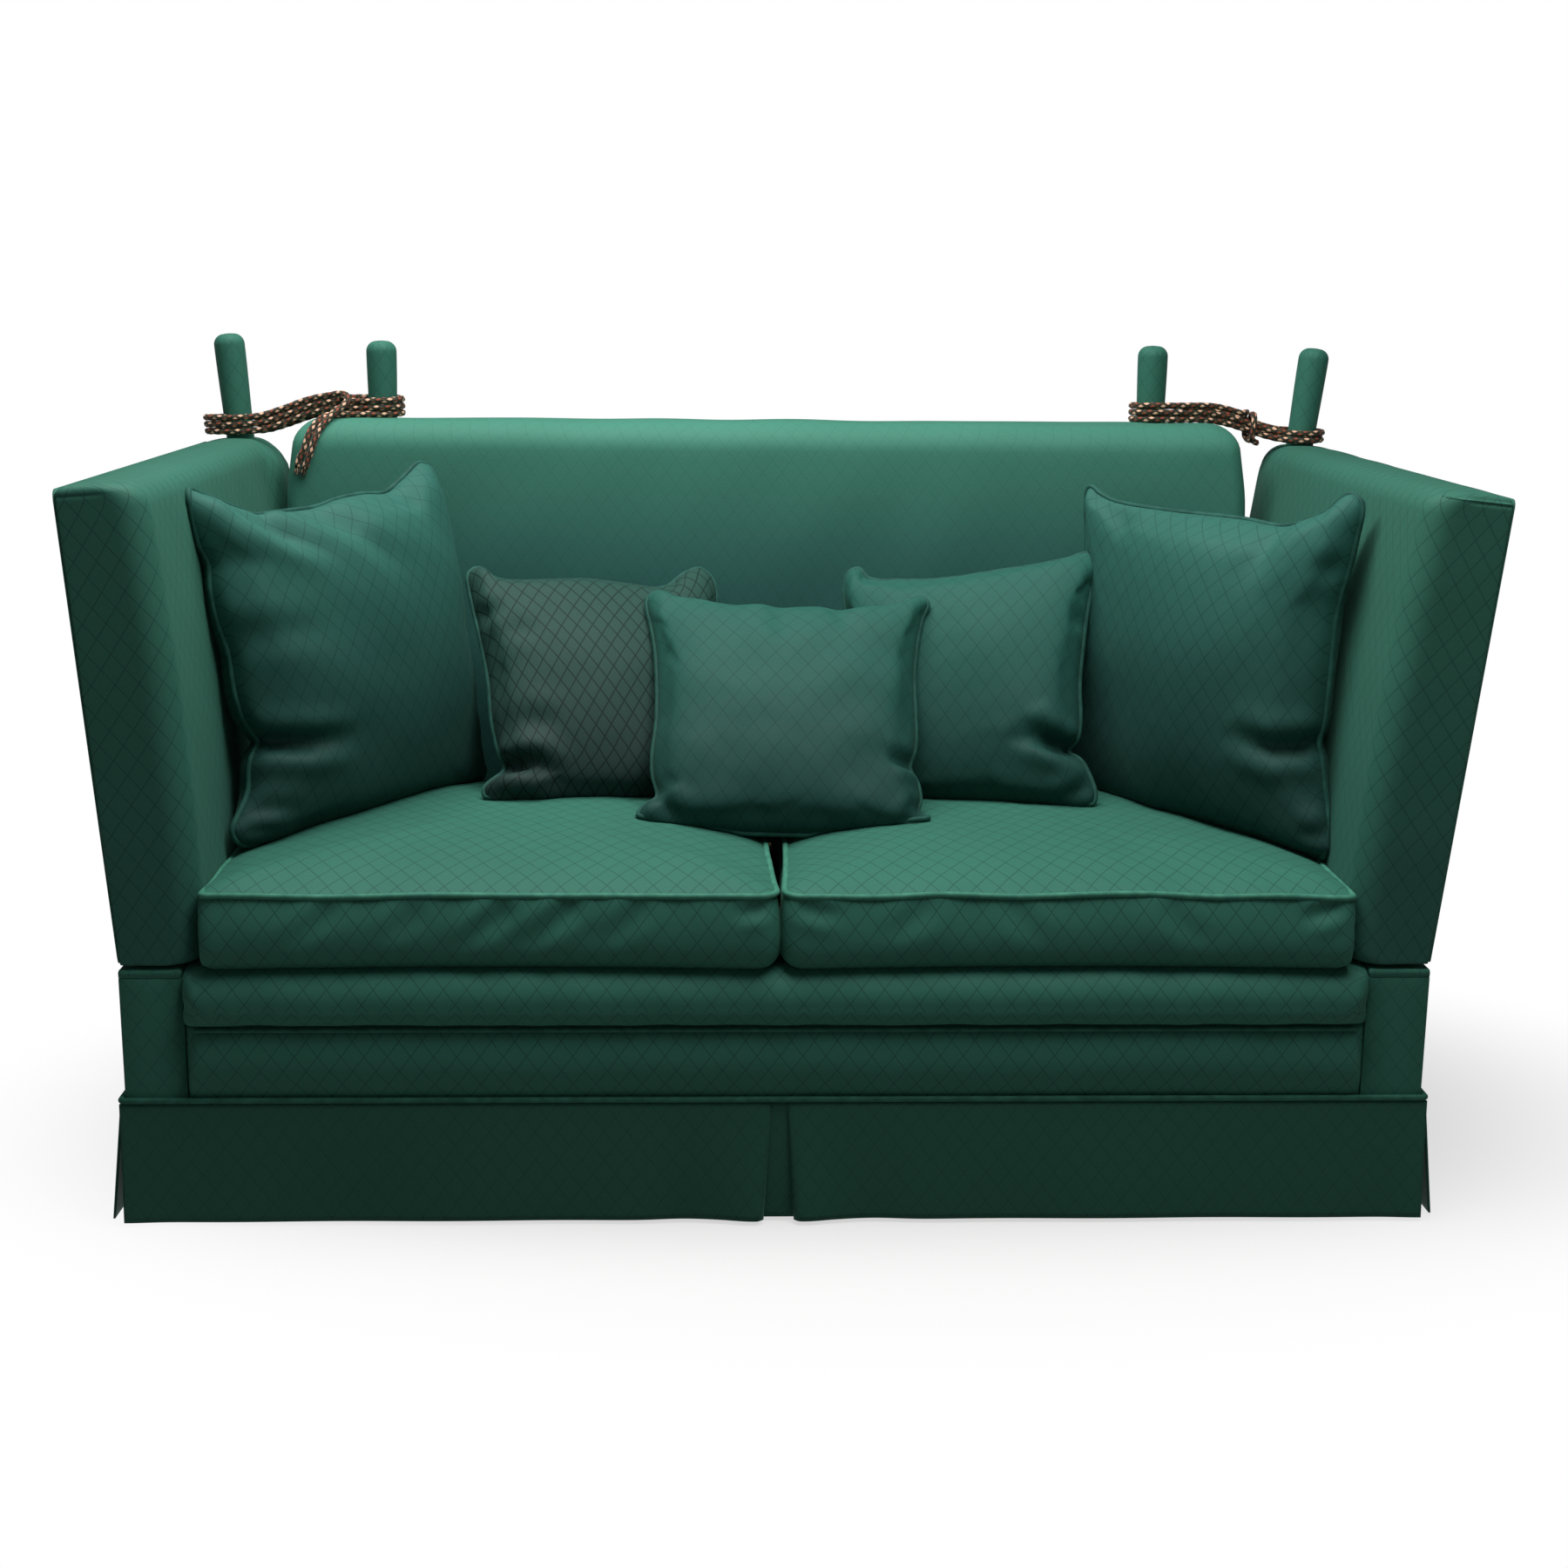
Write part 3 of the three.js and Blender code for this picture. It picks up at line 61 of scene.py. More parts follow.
# Sizes of the base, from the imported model
HALF_BASE = (COVER_RIGHT[1].x - COVER_LEFT[0].x) / 2
BASE_DEPTH = COVER_LEFT[1].y - COVER_LEFT[0].y
BASE_TOP = COVER_LEFT[1].z
SIDE_COVER_WIDTH = COVER_LEFT[1].x - COVER_LEFT[0].x
COVER_INNER = HALF_BASE - SIDE_COVER_WIDTH
COVER_FOOT = COVER_LEFT[0].z
HINGE_HEIGHT = frame["joints"][0]["pos_m"][2]
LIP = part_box("lip_roll")
LIP_TOP = LIP[1].z
LIP_BOTTOM = LIP[0].z
HALF_LIP = (LIP[1].x - LIP[0].x) / 2
LIP_OVERHANG = FRONT_Y - LIP[0].y
LIP_DEPTH = LIP[1].y - LIP[0].y
SKIRT_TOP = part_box("skirt_back")[1].z
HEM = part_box("skirt_back")[0].z

# Cloth pulls a padded edge in: its radius is this share of the solid's
TIGHT = 0.86

# Sizes of the back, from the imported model
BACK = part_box("back_pad")
HALF_BACK = (BACK[1].x - BACK[0].x) / 2
BACK_HEIGHT = BACK[1].z
SEAT_BOTTOM = BACK[0].z
BACK_FOOT_Y = BACK[0].y - FRONT_Y
BACK_REAR_Y = BACK[1].y - FRONT_Y
BACK_RAKE = 65 * MM
BACK_ROLL = 56 * MM * TIGHT
BACK_REAR_ROLL = 40 * MM * TIGHT
BACK_CORNER = 50 * MM * TIGHT
BACK_SIDE = 30 * MM * TIGHT
BACK_REAR_SIDE = 12 * MM
BACK_FOOT_ROUND = 6 * MM
BACK_FOOT_SIDE = 4 * MM
BACK_FULLNESS = 13 * MM
BACK_FULL_HEIGHTS = (500 * MM, 860 * MM)
BACK_FULL_TOP = 970 * MM
BACK_TOP_CROWN = 1.5 * MM

# Sizes of the arms
ARM_LEAN = {-1: math.radians(4.35), 1: math.radians(6.03)}
ARM_LENGTH = 678 * MM
ARM_THICKNESS = 118 * MM
ARM_CROWN = 12 * MM
ARM_CROWN_FULLNESS = 0.6
ARM_REAR_FULLNESS = {-1: 20 * MM, 1: 6 * MM}
ARM_TOP_CROWN = 3 * MM
ARM_OUTER = 4.3 * MM
ARM_FRONT_RADIUS = 46 * MM * TIGHT
ARM_REAR_RADIUS = 14 * MM
ARM_TOP_INNER_RADIUS = 34 * MM
ARM_TOP_OUTER_RADIUS = 12 * MM
ARM_FOOT_RADIUS = 20 * MM
ARM_EDGE_RADIUS = 3.5 * MM
ARM_FOOT_GAP = 3 * MM
# Beside the back, between these depths and heights, the inner face grows full: from so far in from the outer
# face, and less and less over the last of the height
ARM_FULL_DEPTHS = (790 * MM, 880 * MM)
ARM_FULL_HEIGHTS = (430 * MM, 560 * MM)
ARM_FULL_FROM = 60 * MM
ARM_FULL_TOP = (2 * MM, 60 * MM)
# How round an arm's padding is at both ends of its top and of its foot, and how much rounder its front grows
ARM_TOP_FRONT_RADIUS = 11 * MM
ARM_TOP_REAR_RADIUS = 9 * MM
ARM_FOOT_END_RADIUS = 4 * MM
ARM_FRONT_WIDENING = 10 * MM
# The tuck along the top of the front: how far below the top it runs, how deep and how wide it is, and where
# it dies out, measured from the front and from the outer face
TUCK_DROP = 13 * MM
TUCK_DEPTH = 1.8 * MM
TUCK_WIDTH = 2.4 * MM
TUCK_FACE = (12 * MM, 1 * MM)
TUCK_REACH = (72 * MM, 46 * MM)

# Sizes of the seat cushions
SEAT_SEAM = 108 * MM
SEAT_CROWN = 42 * MM
SEAT_BULGE = 9 * MM
SEAT_FRONT_BULGE = 7 * MM
SEAT_SAG = 2.2 * MM
SEAT_SAG_LENGTH = 170 * MM
SEAT_SAG_SEED = 71
SEAT_TUCK = 11 * MM
# Folds on the front of each seat cushion, as (line, width, depth), in mm
SEAT_FOLDS = {
    -1: [([(-642, 471), (-695, 413)], 12, 4.5), ([(-523, 466), (-561, 420)], 13, 4),
         ([(-395, 470), (-462, 408)], 12, 6.5), ([(-301, 476), (-365, 412)], 12, 7),
         ([(-205, 474), (-242, 420)], 13, 5), ([(-25, 478), (-70, 468)], 9, 5)],
    1: [([(35, 478), (90, 462)], 10, 5), ([(201, 474), (152, 426)], 14, 3.5),
        ([(338, 470), (376, 413)], 15, 3.5), ([(561, 470), (601, 419)], 14, 3.5),
        ([(790, 478), (740, 458)], 10, 6)],
}
SEAT_FRONT = -6 * MM
SEAT_REAR = BACK_FOOT_Y - 9.6 * MM
SEAT_GAP = 5 * MM
SEAT_REACH = HALF_BACK + 16 * MM
SEAT_PULL = 12 * MM
SEAT_CORNER = 34 * MM * TIGHT
SEAT_SHOULDER = 3.2
SEAT_FULLNESS = 0.8
SEAT_WELT_OUT = 1.5 * MM
SEAT_WELT_LIFT = 0.5 * MM
SEAT_WELT_GAP = 0.2 * MM
SEAT_UNEVEN_FROM = (10 * MM, 60 * MM)

# What all upholstery shares: the radius of its piping, its gaps, and the height of a step up a padded wall
PIPING = 4.6 * MM
SOFT_GAP = 0.6 * MM
WELT_GAP = 0.3 * MM
SEAM_GAP = 0.3 * MM
WALL_STEP = 16 * MM

# Camera, fitted to the sofa's straight edges, in a picture of 1800 pixels a side
PICTURE = 1800
CAMERA_PLACE = (-98 * MM, -3020 * MM, 1340 * MM)
CAMERA_TURN = 0.0333
CAMERA_PITCH = 0.2228
CAMERA_ROLL = 0.0092
CAMERA_FOCUS = 2536
SENSOR = 36


def at(x, y, z):
    """A place in the sofa's own frame, in the part's frame."""
    return Vector((x + MIDDLE_X, y + FRONT_Y, z))


def make_camera():
    """The photograph's camera, turned from straight ahead, pitched down and rolled a little."""
    turn, pitch, roll = CAMERA_TURN, CAMERA_PITCH, CAMERA_ROLL
    right = Vector((math.cos(turn), -math.sin(turn), 0))
    level = Vector((math.sin(turn), math.cos(turn), 0))
    ahead = level * math.cos(pitch) - Vector((0, 0, math.sin(pitch)))
    up = level * math.sin(pitch) + Vector((0, 0, math.cos(pitch)))
    side = right * math.cos(roll) + up * math.sin(roll)
    top = up * math.cos(roll) - right * math.sin(roll)
    data = bpy.data.cameras.new("camera")
    data.sensor_width = SENSOR
    data.lens = SENSOR * CAMERA_FOCUS / PICTURE
    data.clip_end = 100
    camera = bpy.data.objects.new("camera", data)
    bpy.context.scene.collection.objects.link(camera)
    turned = Matrix((side, top, -ahead)).transposed().to_4x4()
    camera.matrix_world = Matrix.Translation(at(*CAMERA_PLACE)) @ turned
    bpy.context.scene.camera = camera


make_camera()


# Meshes
MERGE = 0.02 * MM


def corners_of(grid):
    """The four corners of each face of a grid, in order round it."""
    return np.stack([grid[:-1, :-1], grid[:-1, 1:], grid[1:, 1:], grid[1:, :-1]], axis=2)


def make_mesh(name, points, faces, uvs, merge=True):
    """A smooth object from points in the sofa's own frame, with the cloth's coordinates at each corner."""
    mesh = bpy.data.meshes.new(name)
    mesh.from_pydata((points + ORIGIN).tolist(), [], faces.tolist())
    layer = mesh.uv_layers.new(name="cloth")
    layer.data.foreach_set("uv", uvs.astype(np.float32).ravel())
    obj = bpy.data.objects.new(name, mesh)
    bpy.context.scene.collection.objects.link(obj)
    work = bmesh.new()
    work.from_mesh(mesh)
    if merge:
        bmesh.ops.remove_doubles(work, verts=work.verts, dist=MERGE)
        bmesh.ops.dissolve_degenerate(work, edges=work.edges, dist=MERGE / 2)
    bmesh.ops.recalc_face_normals(work, faces=work.faces)
    work.to_mesh(mesh)
    work.free()
    mesh.polygons.foreach_set("use_smooth", [True] * len(mesh.polygons))
    return obj


class Skin:
    """Bands of rings, each with its own cloth coordinates, that make one surface."""

    def __init__(self):
        self.points, self.faces, self.uvs, self.count = [], [], [], 0

    def band(self, rings, uvs, closed=True):
        """rings is (levels, around, 3) and uvs (levels, around + 1, 2), whose last column closes each ring.
        In an open patch both have the same number of columns."""
        rings, uvs = np.asarray(rings, float), np.asarray(uvs, float)
        index = self.count + np.arange(rings.size // 3).reshape(rings.shape[:2])
        self.count += index.size
        if closed:
            index = np.concatenate([index, index[:, :1]], axis=1)
        self.points.append(rings.reshape(-1, 3))
        self.faces.append(corners_of(index).reshape(-1, 4))
        self.uvs.append(corners_of(uvs).reshape(-1, 2))

    def build(self, name, merge=True):
        parts = (np.concatenate(part) for part in (self.points, self.faces, self.uvs))
        return make_mesh(name, *parts, merge)


def outline(x0, x1, y0, y1, radii, counts, arc=8):
    """A rectangle with round corners, anticlockwise from its low left corner, with one outward direction a
    point. counts are the steps along the low, right, high and left sides, and arc those of each corner."""
    corners = [(x0, y0, 180), (x1, y0, 270), (x1, y1, 0), (x0, y1, 90)]
    arcs = []
    for k, (cx, cy, start) in enumerate(corners):
        r = radii[k]
        ox = cx + (r if k in (0, 3) else -r)
        oy = cy + (r if k in (0, 1) else -r)
        angles = np.radians(start + 90 * np.arange(arc + 1) / arc)
        ways = np.stack([np.cos(angles), np.sin(angles)], axis=1)
        arcs.append((np.array([ox, oy]) + r * ways, ways))
    points, out = [], []
    for k, (places, ways) in enumerate(arcs):
        following = arcs[(k + 1) % 4][0][0]
        share = np.arange(1, counts[k])[:, None] / counts[k]
        points += [places, places[-1] * (1 - share) + following * share]
        out += [ways, np.repeat(ways[-1:], counts[k] - 1, axis=0)]
    return np.concatenate(points), np.concatenate(out)


def distances(path):
    """How far along a path each of its points is."""
    return np.concatenate([[0], np.cumsum(np.linalg.norm(np.diff(path, axis=0), axis=1))])


def places_at(path, wanted):
    """Places on a path at distances from its start."""
    run = distances(path)
    return np.stack([np.interp(wanted, run, values) for values in path.T], axis=-1)


def close_ring(values):
    """A ring's values with the first repeated at the end."""
    return np.concatenate([values, values[:1]])


def run_length(ring):
    """The distance along a closed ring, one value more than its points."""
    return distances(close_ring(ring))


def raised(flat, height):
    """A flat ring, or one row of its coordinates, at a height or at heights of its own."""
    return np.column_stack([flat, np.broadcast_to(height, len(flat))])


def inset(height, radius):
    """How far a round edge has drawn in at a height below where it ends."""
    left = np.clip(radius - np.asarray(height, float), 0, radius)
    return radius - np.sqrt(np.maximum(radius**2 - left**2, 0))


def ripple(points, size, seed):
    """A soft unevenness from -1 to 1, from waves about that size in directions of their own."""
    chance = np.random.default_rng(seed)
    total = np.zeros(len(points))
    waves, gain = 7, 1.6
    for _ in range(waves):
        way = chance.normal(size=3)
        way /= np.linalg.norm(way)
        length = size * chance.uniform(0.7, 1.6)
        total += np.sin(points @ way * (2 * math.pi / length) + chance.uniform(0, 2 * math.pi))
    return total / waves * gain


def crease(places, line, width, depth, shoulder=0.6):
    """How far a fold pushes flat places in near a bent line: a valley with raised sides that dies out."""
    line = np.array(line, float) * MM
    nearest, share = np.full(len(places), np.inf), np.zeros(len(places))
    before = 0
    for start, step in zip(line, np.diff(line, axis=0)):
        length = np.linalg.norm(step)
        along = np.clip((places - start) @ step / length**2, 0, 1)
        apart = np.linalg.norm(places - start - along[:, None] * step, axis=1)
        share = np.where(apart < nearest, before + along * length, share)
        nearest = np.minimum(nearest, apart)
        before += length
    fade = np.sin((0.25 + 0.75 * share / before) * math.pi) ** 1.2
    valley = np.exp(-((nearest / width) ** 2))
    sides = np.exp(-(((nearest - 2.2 * width) / (1.2 * width)) ** 2))
    return depth * fade * (valley - shoulder * sides)


def smooth_step(values, low, high):
    """From 0 at low to 1 at high, easing in and out."""
    share = np.clip((values - low) / (high - low), 0, 1)
    return share * share * (3 - 2 * share)


def read_points(obj, key):
    values = np.zeros(len(obj.data.vertices) * 3)
    obj.data.vertices.foreach_get(key, values)
    return values.reshape(-1, 3)


def normals_of(obj):
    return read_points(obj, "normal")


def places_of(obj):
    """An object's points in the sofa's own frame."""
    return read_points(obj, "co") - ORIGIN


def set_places(obj, places):
    obj.data.vertices.foreach_set("co", (places + ORIGIN).ravel())
    obj.data.update()


def puff(obj, rise):
    """Moves each point of an object out along its normal."""
    set_places(obj, places_of(obj) + normals_of(obj) * rise[:, None])


def rings_round(path, radius, side, other, count):
    """A ring of points round each point of a path, in the plane of two directions."""
    angles = (2 * math.pi * np.arange(count) / count)[None, :, None]
    return path[:, None] + radius * (np.cos(angles) * side + np.sin(angles) * other)


def capped(path, rings):
    """Rings with one more at each end, drawn together to the path's own point."""
    first, last = (np.repeat(path[None, [k]], rings.shape[1], axis=1) for k in (0, -1))
    return np.concatenate([first, rings, last])


def cloth_grid(lengths, widths):
    """Cloth coordinates for each pair of a length and a width."""
    return np.stack(np.meshgrid(lengths, widths, indexing="ij"), axis=2)


def tube(name, path, radius, sides=10, closed=False, merge=True):
    """A round cord of cloth along a path, with its length and girth as cloth coordinates."""
    path = np.asarray(path, float)
    ahead = np.roll(path, -1, axis=0) - np.roll(path, 1, axis=0)
    if not closed:
        ahead[0], ahead[-1] = path[1] - path[0], path[-1] - path[-2]
    ahead /= np.linalg.norm(ahead, axis=1)[:, None]
    side = np.array([0, 0, 1.0])
    if abs(ahead[0] @ side) > 0.9:
        side = np.array([1.0, 0, 0])
    side_ways = []
    for way in ahead:
        side = side - way * (side @ way)
        side /= np.linalg.norm(side)
        side_ways.append(side)
    side_ways = np.array(side_ways)
    up = np.cross(ahead, side_ways)
    rings = rings_round(path, radius, side_ways[:, None], up[:, None], sides)
    girth = np.arange(sides + 1) / sides * 2 * math.pi * radius
    run = run_length(path)
    if closed:
        # The last ring is turned to meet the first, whose side has crept round on the way.
        crept = math.atan2(side_ways[-1] @ up[0], side_ways[-1] @ side_ways[0])
        first = np.roll(rings[:1], -round(crept / (2 * math.pi) * sides), axis=1)
        rings = np.concatenate([rings, first])
    else:
        rings = capped(path, rings)
        run = np.concatenate([run[:1], run[:-1], run[-2:-1]])
    skin = Skin()
    skin.band(rings, cloth_grid(run, girth))
    return skin.build(name, merge)


# Materials
SATIN_ROUGHNESS = 0.62
SATIN_SPECULAR = 0.14
SHEEN_ROUGHNESS = 0.4
SHEEN_TINT = "#7fb8a2"
THREAD_ALONG = 1.6 * MM
THREAD_ACROSS = 3.8 * MM
ROPE_DIAMETER = 10.5 * MM
ROPE_PLAIT = 18 * MM
ROPE_PLAIT_TURNS = 3
JUTE_PITCH = 2 * MM


def linear(colour):
    """The linear values of an sRGB hex colour."""
    parts = [int(colour[i:i + 2], 16) / 255 for i in (1, 3, 5)]
    return [p / 12.92 if p <= 0.04045 else ((p + 0.055) / 1.055) ** 2.4 for p in parts] + [1]


def node(tree, kind, links, out=0, **settings):
    """Adds a node with its settings and returns one of its outputs; links gives its inputs, as values or as
    the outputs of other nodes."""
    made = tree.nodes.new("ShaderNode" + kind)
    for key, value in settings.items():
        setattr(made, key, value)
    for key, value in links.items():
        if isinstance(value, bpy.types.NodeSocket):
            tree.links.new(value, made.inputs[key])
        else:
            made.inputs[key].default_value = value
    return made.outputs[out]


def new_material(name, **sockets):
    """A material with one shader, whose even values are set on its own sockets, and what adds nodes to it."""
    material = bpy.data.materials.new(name)
    material.use_nodes = True
    tree = material.node_tree
    tree.nodes.clear()
    shader = tree.nodes.new("ShaderNodeBsdfPrincipled")
    tree.links.new(shader.outputs[0], tree.nodes.new("ShaderNodeOutputMaterial").inputs[0])
    for key, value in sockets.items():
        shader.inputs[key.replace("_", " ")].default_value = value
    return material, shader, partial(node, tree)


def mottle(add, place, scale, detail, spread, dull, bright):
    """Two colours that take turns in soft patches, and the unevenness that they follow."""
    noise = add("TexNoise", {0: place, 2: scale, 3: detail})
    share = add("MapRange", {0: noise, 1: spread[0], 2: spread[1]})
    return add("Mix", {0: share, 6: linear(dull), 7: linear(bright)}, 2, data_type="RGBA"), noise


def finish(material, shader, add, colour, height, strength, distance):
    """Gives a shader its colour and a relief of that height."""
    bump = add("Bump", {"Height": height, "Strength": strength, "Distance": distance})
    material.node_tree.links.new(colour, shader.inputs["Base Color"])
    material.node_tree.links.new(bump, shader.inputs["Normal"])
    return material


def damask(name, ground, faded, thread, line, contrast, line_width=1.2 * MM, diamond=(33 * MM, 43 * MM),
           sheen=0.2, soiled="#ffffff", soiled_heights=(0.56, 1)):
    """Worsted satin damask: a smooth face that shines softly, with a thin trellis of diamonds woven the other
    way, so that its lines show darker. The threads are half a millimetre apart and are drawn at 1.6 mm. Its
    colour drifts in soft patches, and painted shade darkens it lower down: below the given heights its colour
    is multiplied by a second, darker colour."""
    material, shader, add = new_material(
        name, Roughness=SATIN_ROUGHNESS, Sheen_Weight=sheen, Sheen_Roughness=SHEEN_ROUGHNESS,
        Sheen_Tint=linear(SHEEN_TINT), Specular_IOR_Level=SATIN_SPECULAR)
    cloth = add("UVMap", {}, uv_map="cloth")
    place = add("TexCoord", {}, "Object")
    split = add("SeparateXYZ", {0: cloth}).node.outputs
    across, along = (add("Math", {0: split[k], 1: diamond[k]}, operation="DIVIDE") for k in (0, 1))
    slanted = (add("Math", {0: across, 1: along}, operation=way) for way in ("ADD", "SUBTRACT"))
    rising, falling = (add("Math", {0: way, 1: 0.5}, operation="PINGPONG") for way in slanted)
    nearest = add("Math", {0: rising, 1: falling}, operation="MINIMUM")
    half = line_width / diamond[0] / 2
    lines = add("MapRange", {0: nearest, 1: half * 0.6, 2: half * 2.2, 3: 1.0, 4: 0.0},
                interpolation_type="SMOOTHSTEP")
    threads = add("Mapping", {0: cloth, 3: (1 / THREAD_ALONG, 1 / THREAD_ACROSS, 1)})
    slub = add("TexNoise", {0: threads, 2: 1.0, 3: 2.0})
    base, _ = mottle(add, place, 2.4, 3.0, (0.35, 0.68), ground, faded)
    thread_share = add("MapRange", {0: slub, 1: 0.35, 2: 0.75, 4: 0.35})
    worn = add("Mix", {0: thread_share, 6: base, 7: linear(thread)}, 2, data_type="RGBA")
    line_share = add("Math", {0: lines, 1: contrast}, operation="MULTIPLY")
    unshaded = add("Mix", {0: line_share, 6: worn, 7: linear(line)}, 2, data_type="RGBA")
    # Painted shade: low down the colour is multiplied by a darker one, which fades out between the two
    # heights
    level = add("SeparateXYZ", {0: place}, 2)
    shade_share = add("MapRange", {0: level, 1: soiled_heights[0], 2: soiled_heights[1], 3: 1.0, 4: 0.0},
                    interpolation_type="SMOOTHSTEP")
    colour = add("Mix", {0: shade_share, 6: unshaded, 7: linear(soiled)}, 2, data_type="RGBA",
                 blend_type="MULTIPLY")
    height = add("Math", {0: slub, 1: 0.35}, operation="MULTIPLY")
    relief = add("Math", {0: height, 1: lines}, operation="SUBTRACT")
    return finish(material, shader, add, colour, relief, strength=0.35, distance=0.25 * MM)


def bias_satin(name, dull, bright):
    """The same satin cut on the cross and sewn round a cord. Its shine breaking into short patches is painted
    sheen: a mottle of a duller and a brighter colour, which also raises the cloth a little.
    """
    material, shader, add = new_material(
        name, Roughness=0.6, Sheen_Weight=0.15, Sheen_Roughness=SHEEN_ROUGHNESS,
        Sheen_Tint=linear(SHEEN_TINT), Specular_IOR_Level=SATIN_SPECULAR)
    cloth = add("UVMap", {}, uv_map="cloth")
    # Painted sheen: patches of a duller and a brighter colour stand for the broken shine
    colour, patches = mottle(add, cloth, 45.0, 2.0, (0.35, 0.7), dull, bright)
    return finish(material, shader, add, colour, patches, strength=0.3, distance=0.4 * MM)


def plaited_chenille():
    """Plaited chenille: a near-black olive ground, long pale pink and brick-red picks, each 18 mm from the
    next in its row, and a little tarnished gold thread between them."""
    material, shader, add = new_material(
        "plaited_chenille", Roughness=0.8, Sheen_Weight=0.2, Sheen_Roughness=SHEEN_ROUGHNESS)
    cloth = add("UVMap", {}, uv_map="cloth")
    split = add("SeparateXYZ", {0: cloth}).node.outputs
    along = add("Math", {0: split[0], 1: ROPE_PLAIT}, operation="DIVIDE")
    around = add("Math", {0: split[1], 1: ROPE_DIAMETER * math.pi}, operation="DIVIDE")
    right, left = (add("Math", {0: around, 1: turns, 2: along}, operation="MULTIPLY_ADD")
                   for turns in (ROPE_PLAIT_TURNS, -ROPE_PLAIT_TURNS))
    # Every second crossing of the two families of strands is pale, and the ones between are red.
    right_turn = add("Math", {0: right, 1: 2.0, 2: 0.0}, operation="WRAP")
    left_turn = add("Math", {0: left}, operation="FRACT")
    left_pick = add("Math", {0: left_turn, 1: 0.5, 2: 0.27}, operation="COMPARE")
    near = (add("Math", {0: right_turn, 1: middle, 2: width}, operation="COMPARE")
            for middle, width in ((0.5, 0.27), (1.5, 0.22)))
    pale, red = (add("Math", {0: pick, 1: left_pick}, operation="MULTIPLY") for pick in near)
    gold = add("Math", {0: left_turn, 1: 0.9, 2: 0.05}, operation="COMPARE")
    gold_share = add("Math", {0: gold, 1: 0.4}, operation="MULTIPLY")
    colour, fuzz = mottle(add, cloth, 900.0, 2.0, (0.35, 0.65), "#12130c", "#272719")
    for share, yarn in ((gold_share, "#7d7440"), (red, "#96492f"), (pale, "#f0bd9c")):
        colour = add("Mix", {0: share, 6: colour, 7: linear(yarn)}, 2, data_type="RGBA")
    return finish(material, shader, add, colour, fuzz, strength=0.5, distance=0.4 * MM)


def planed_beech(name, along):
    """Planed, unfinished beech: matt, with straight grain about 4 mm wide and short darker flecks."""
    material, shader, add = new_material(name, Roughness=0.62)
    place = add("TexCoord", {}, "Object")
    stretched = []
    for across_scale, along_scale in ((240, 9), (900, 160)):
        scale = [across_scale] * 3
        scale[along] = along_scale
        stretched.append(add("Mapping", {0: place, 3: scale}))
    board, grain = mottle(add, stretched[0], 1.0, 4.0, (0.3, 0.7), "#b68b5a", "#c9a273")
    flecks = add("TexNoise", {0: stretched[1], 2: 1.0, 3: 1.0})
    fleck_share = add("MapRange", {0: flecks, 1: 0.62, 2: 0.72, 4: 0.5})
    flecked = add("Mix", {0: fleck_share, 6: board, 7: linear("#7a5330")}, 2, data_type="RGBA")
    return finish(material, shader, add, flecked, grain, strength=0.2, distance=0.3 * MM)


def zinc_plated_steel():
    """Rolled, zinc-plated steel: a dull grey metal with fine marks along the way that it was rolled."""
    material, shader, add = new_material("zinc_plated_steel", Metallic=1.0)
    place = add("TexCoord", {}, "Object")
    stretched = add("Mapping", {0: place, 3: (300, 12, 300)})
    marks = add("TexNoise", {0: stretched, 2: 2.0, 3: 3.0})
    colour = add("Mix", {0: marks, 6: linear("#8f9193"), 7: linear("#b9bbbd")}, 2, data_type="RGBA")
    rough = add("MapRange", {0: marks, 1: 0.3, 2: 0.7, 3: 0.3, 4: 0.5})
    material.node_tree.links.new(colour, shader.inputs["Base Color"])
    material.node_tree.links.new(rough, shader.inputs["Roughness"])
    return material


def jute_hessian():
    """Jute hessian: a coarse plain weave with uneven threads, 1.5 mm apart and drawn at 2 mm."""
    material, shader, add = new_material("jute_hessian", Roughness=0.9)
    cloth = add("UVMap", {}, uv_map="cloth")
    split = add("SeparateXYZ", {0: cloth}).node.outputs
    threads = (add("Math", {0: split[k], 1: JUTE_PITCH}, operation="DIVIDE") for k in (0, 1))
    warp, weft = (add("Math", {0: thread, 1: 0.5}, operation="PINGPONG") for thread in threads)
    weave = add("Math", {0: warp, 1: weft}, operation="MULTIPLY")
    ground, _ = mottle(add, cloth, 120.0, 3.0, (0.3, 0.7), "#8a744c", "#b39c6e")
    gap = add("MapRange", {0: weave, 1: 0.0, 2: 0.06, 3: 0.6, 4: 0.0})
    colour = add("Mix", {0: gap, 6: ground, 7: linear("#4b3d24")}, 2, data_type="RGBA")
    return finish(material, shader, add, colour, weave, strength=0.6, distance=0.6 * MM)


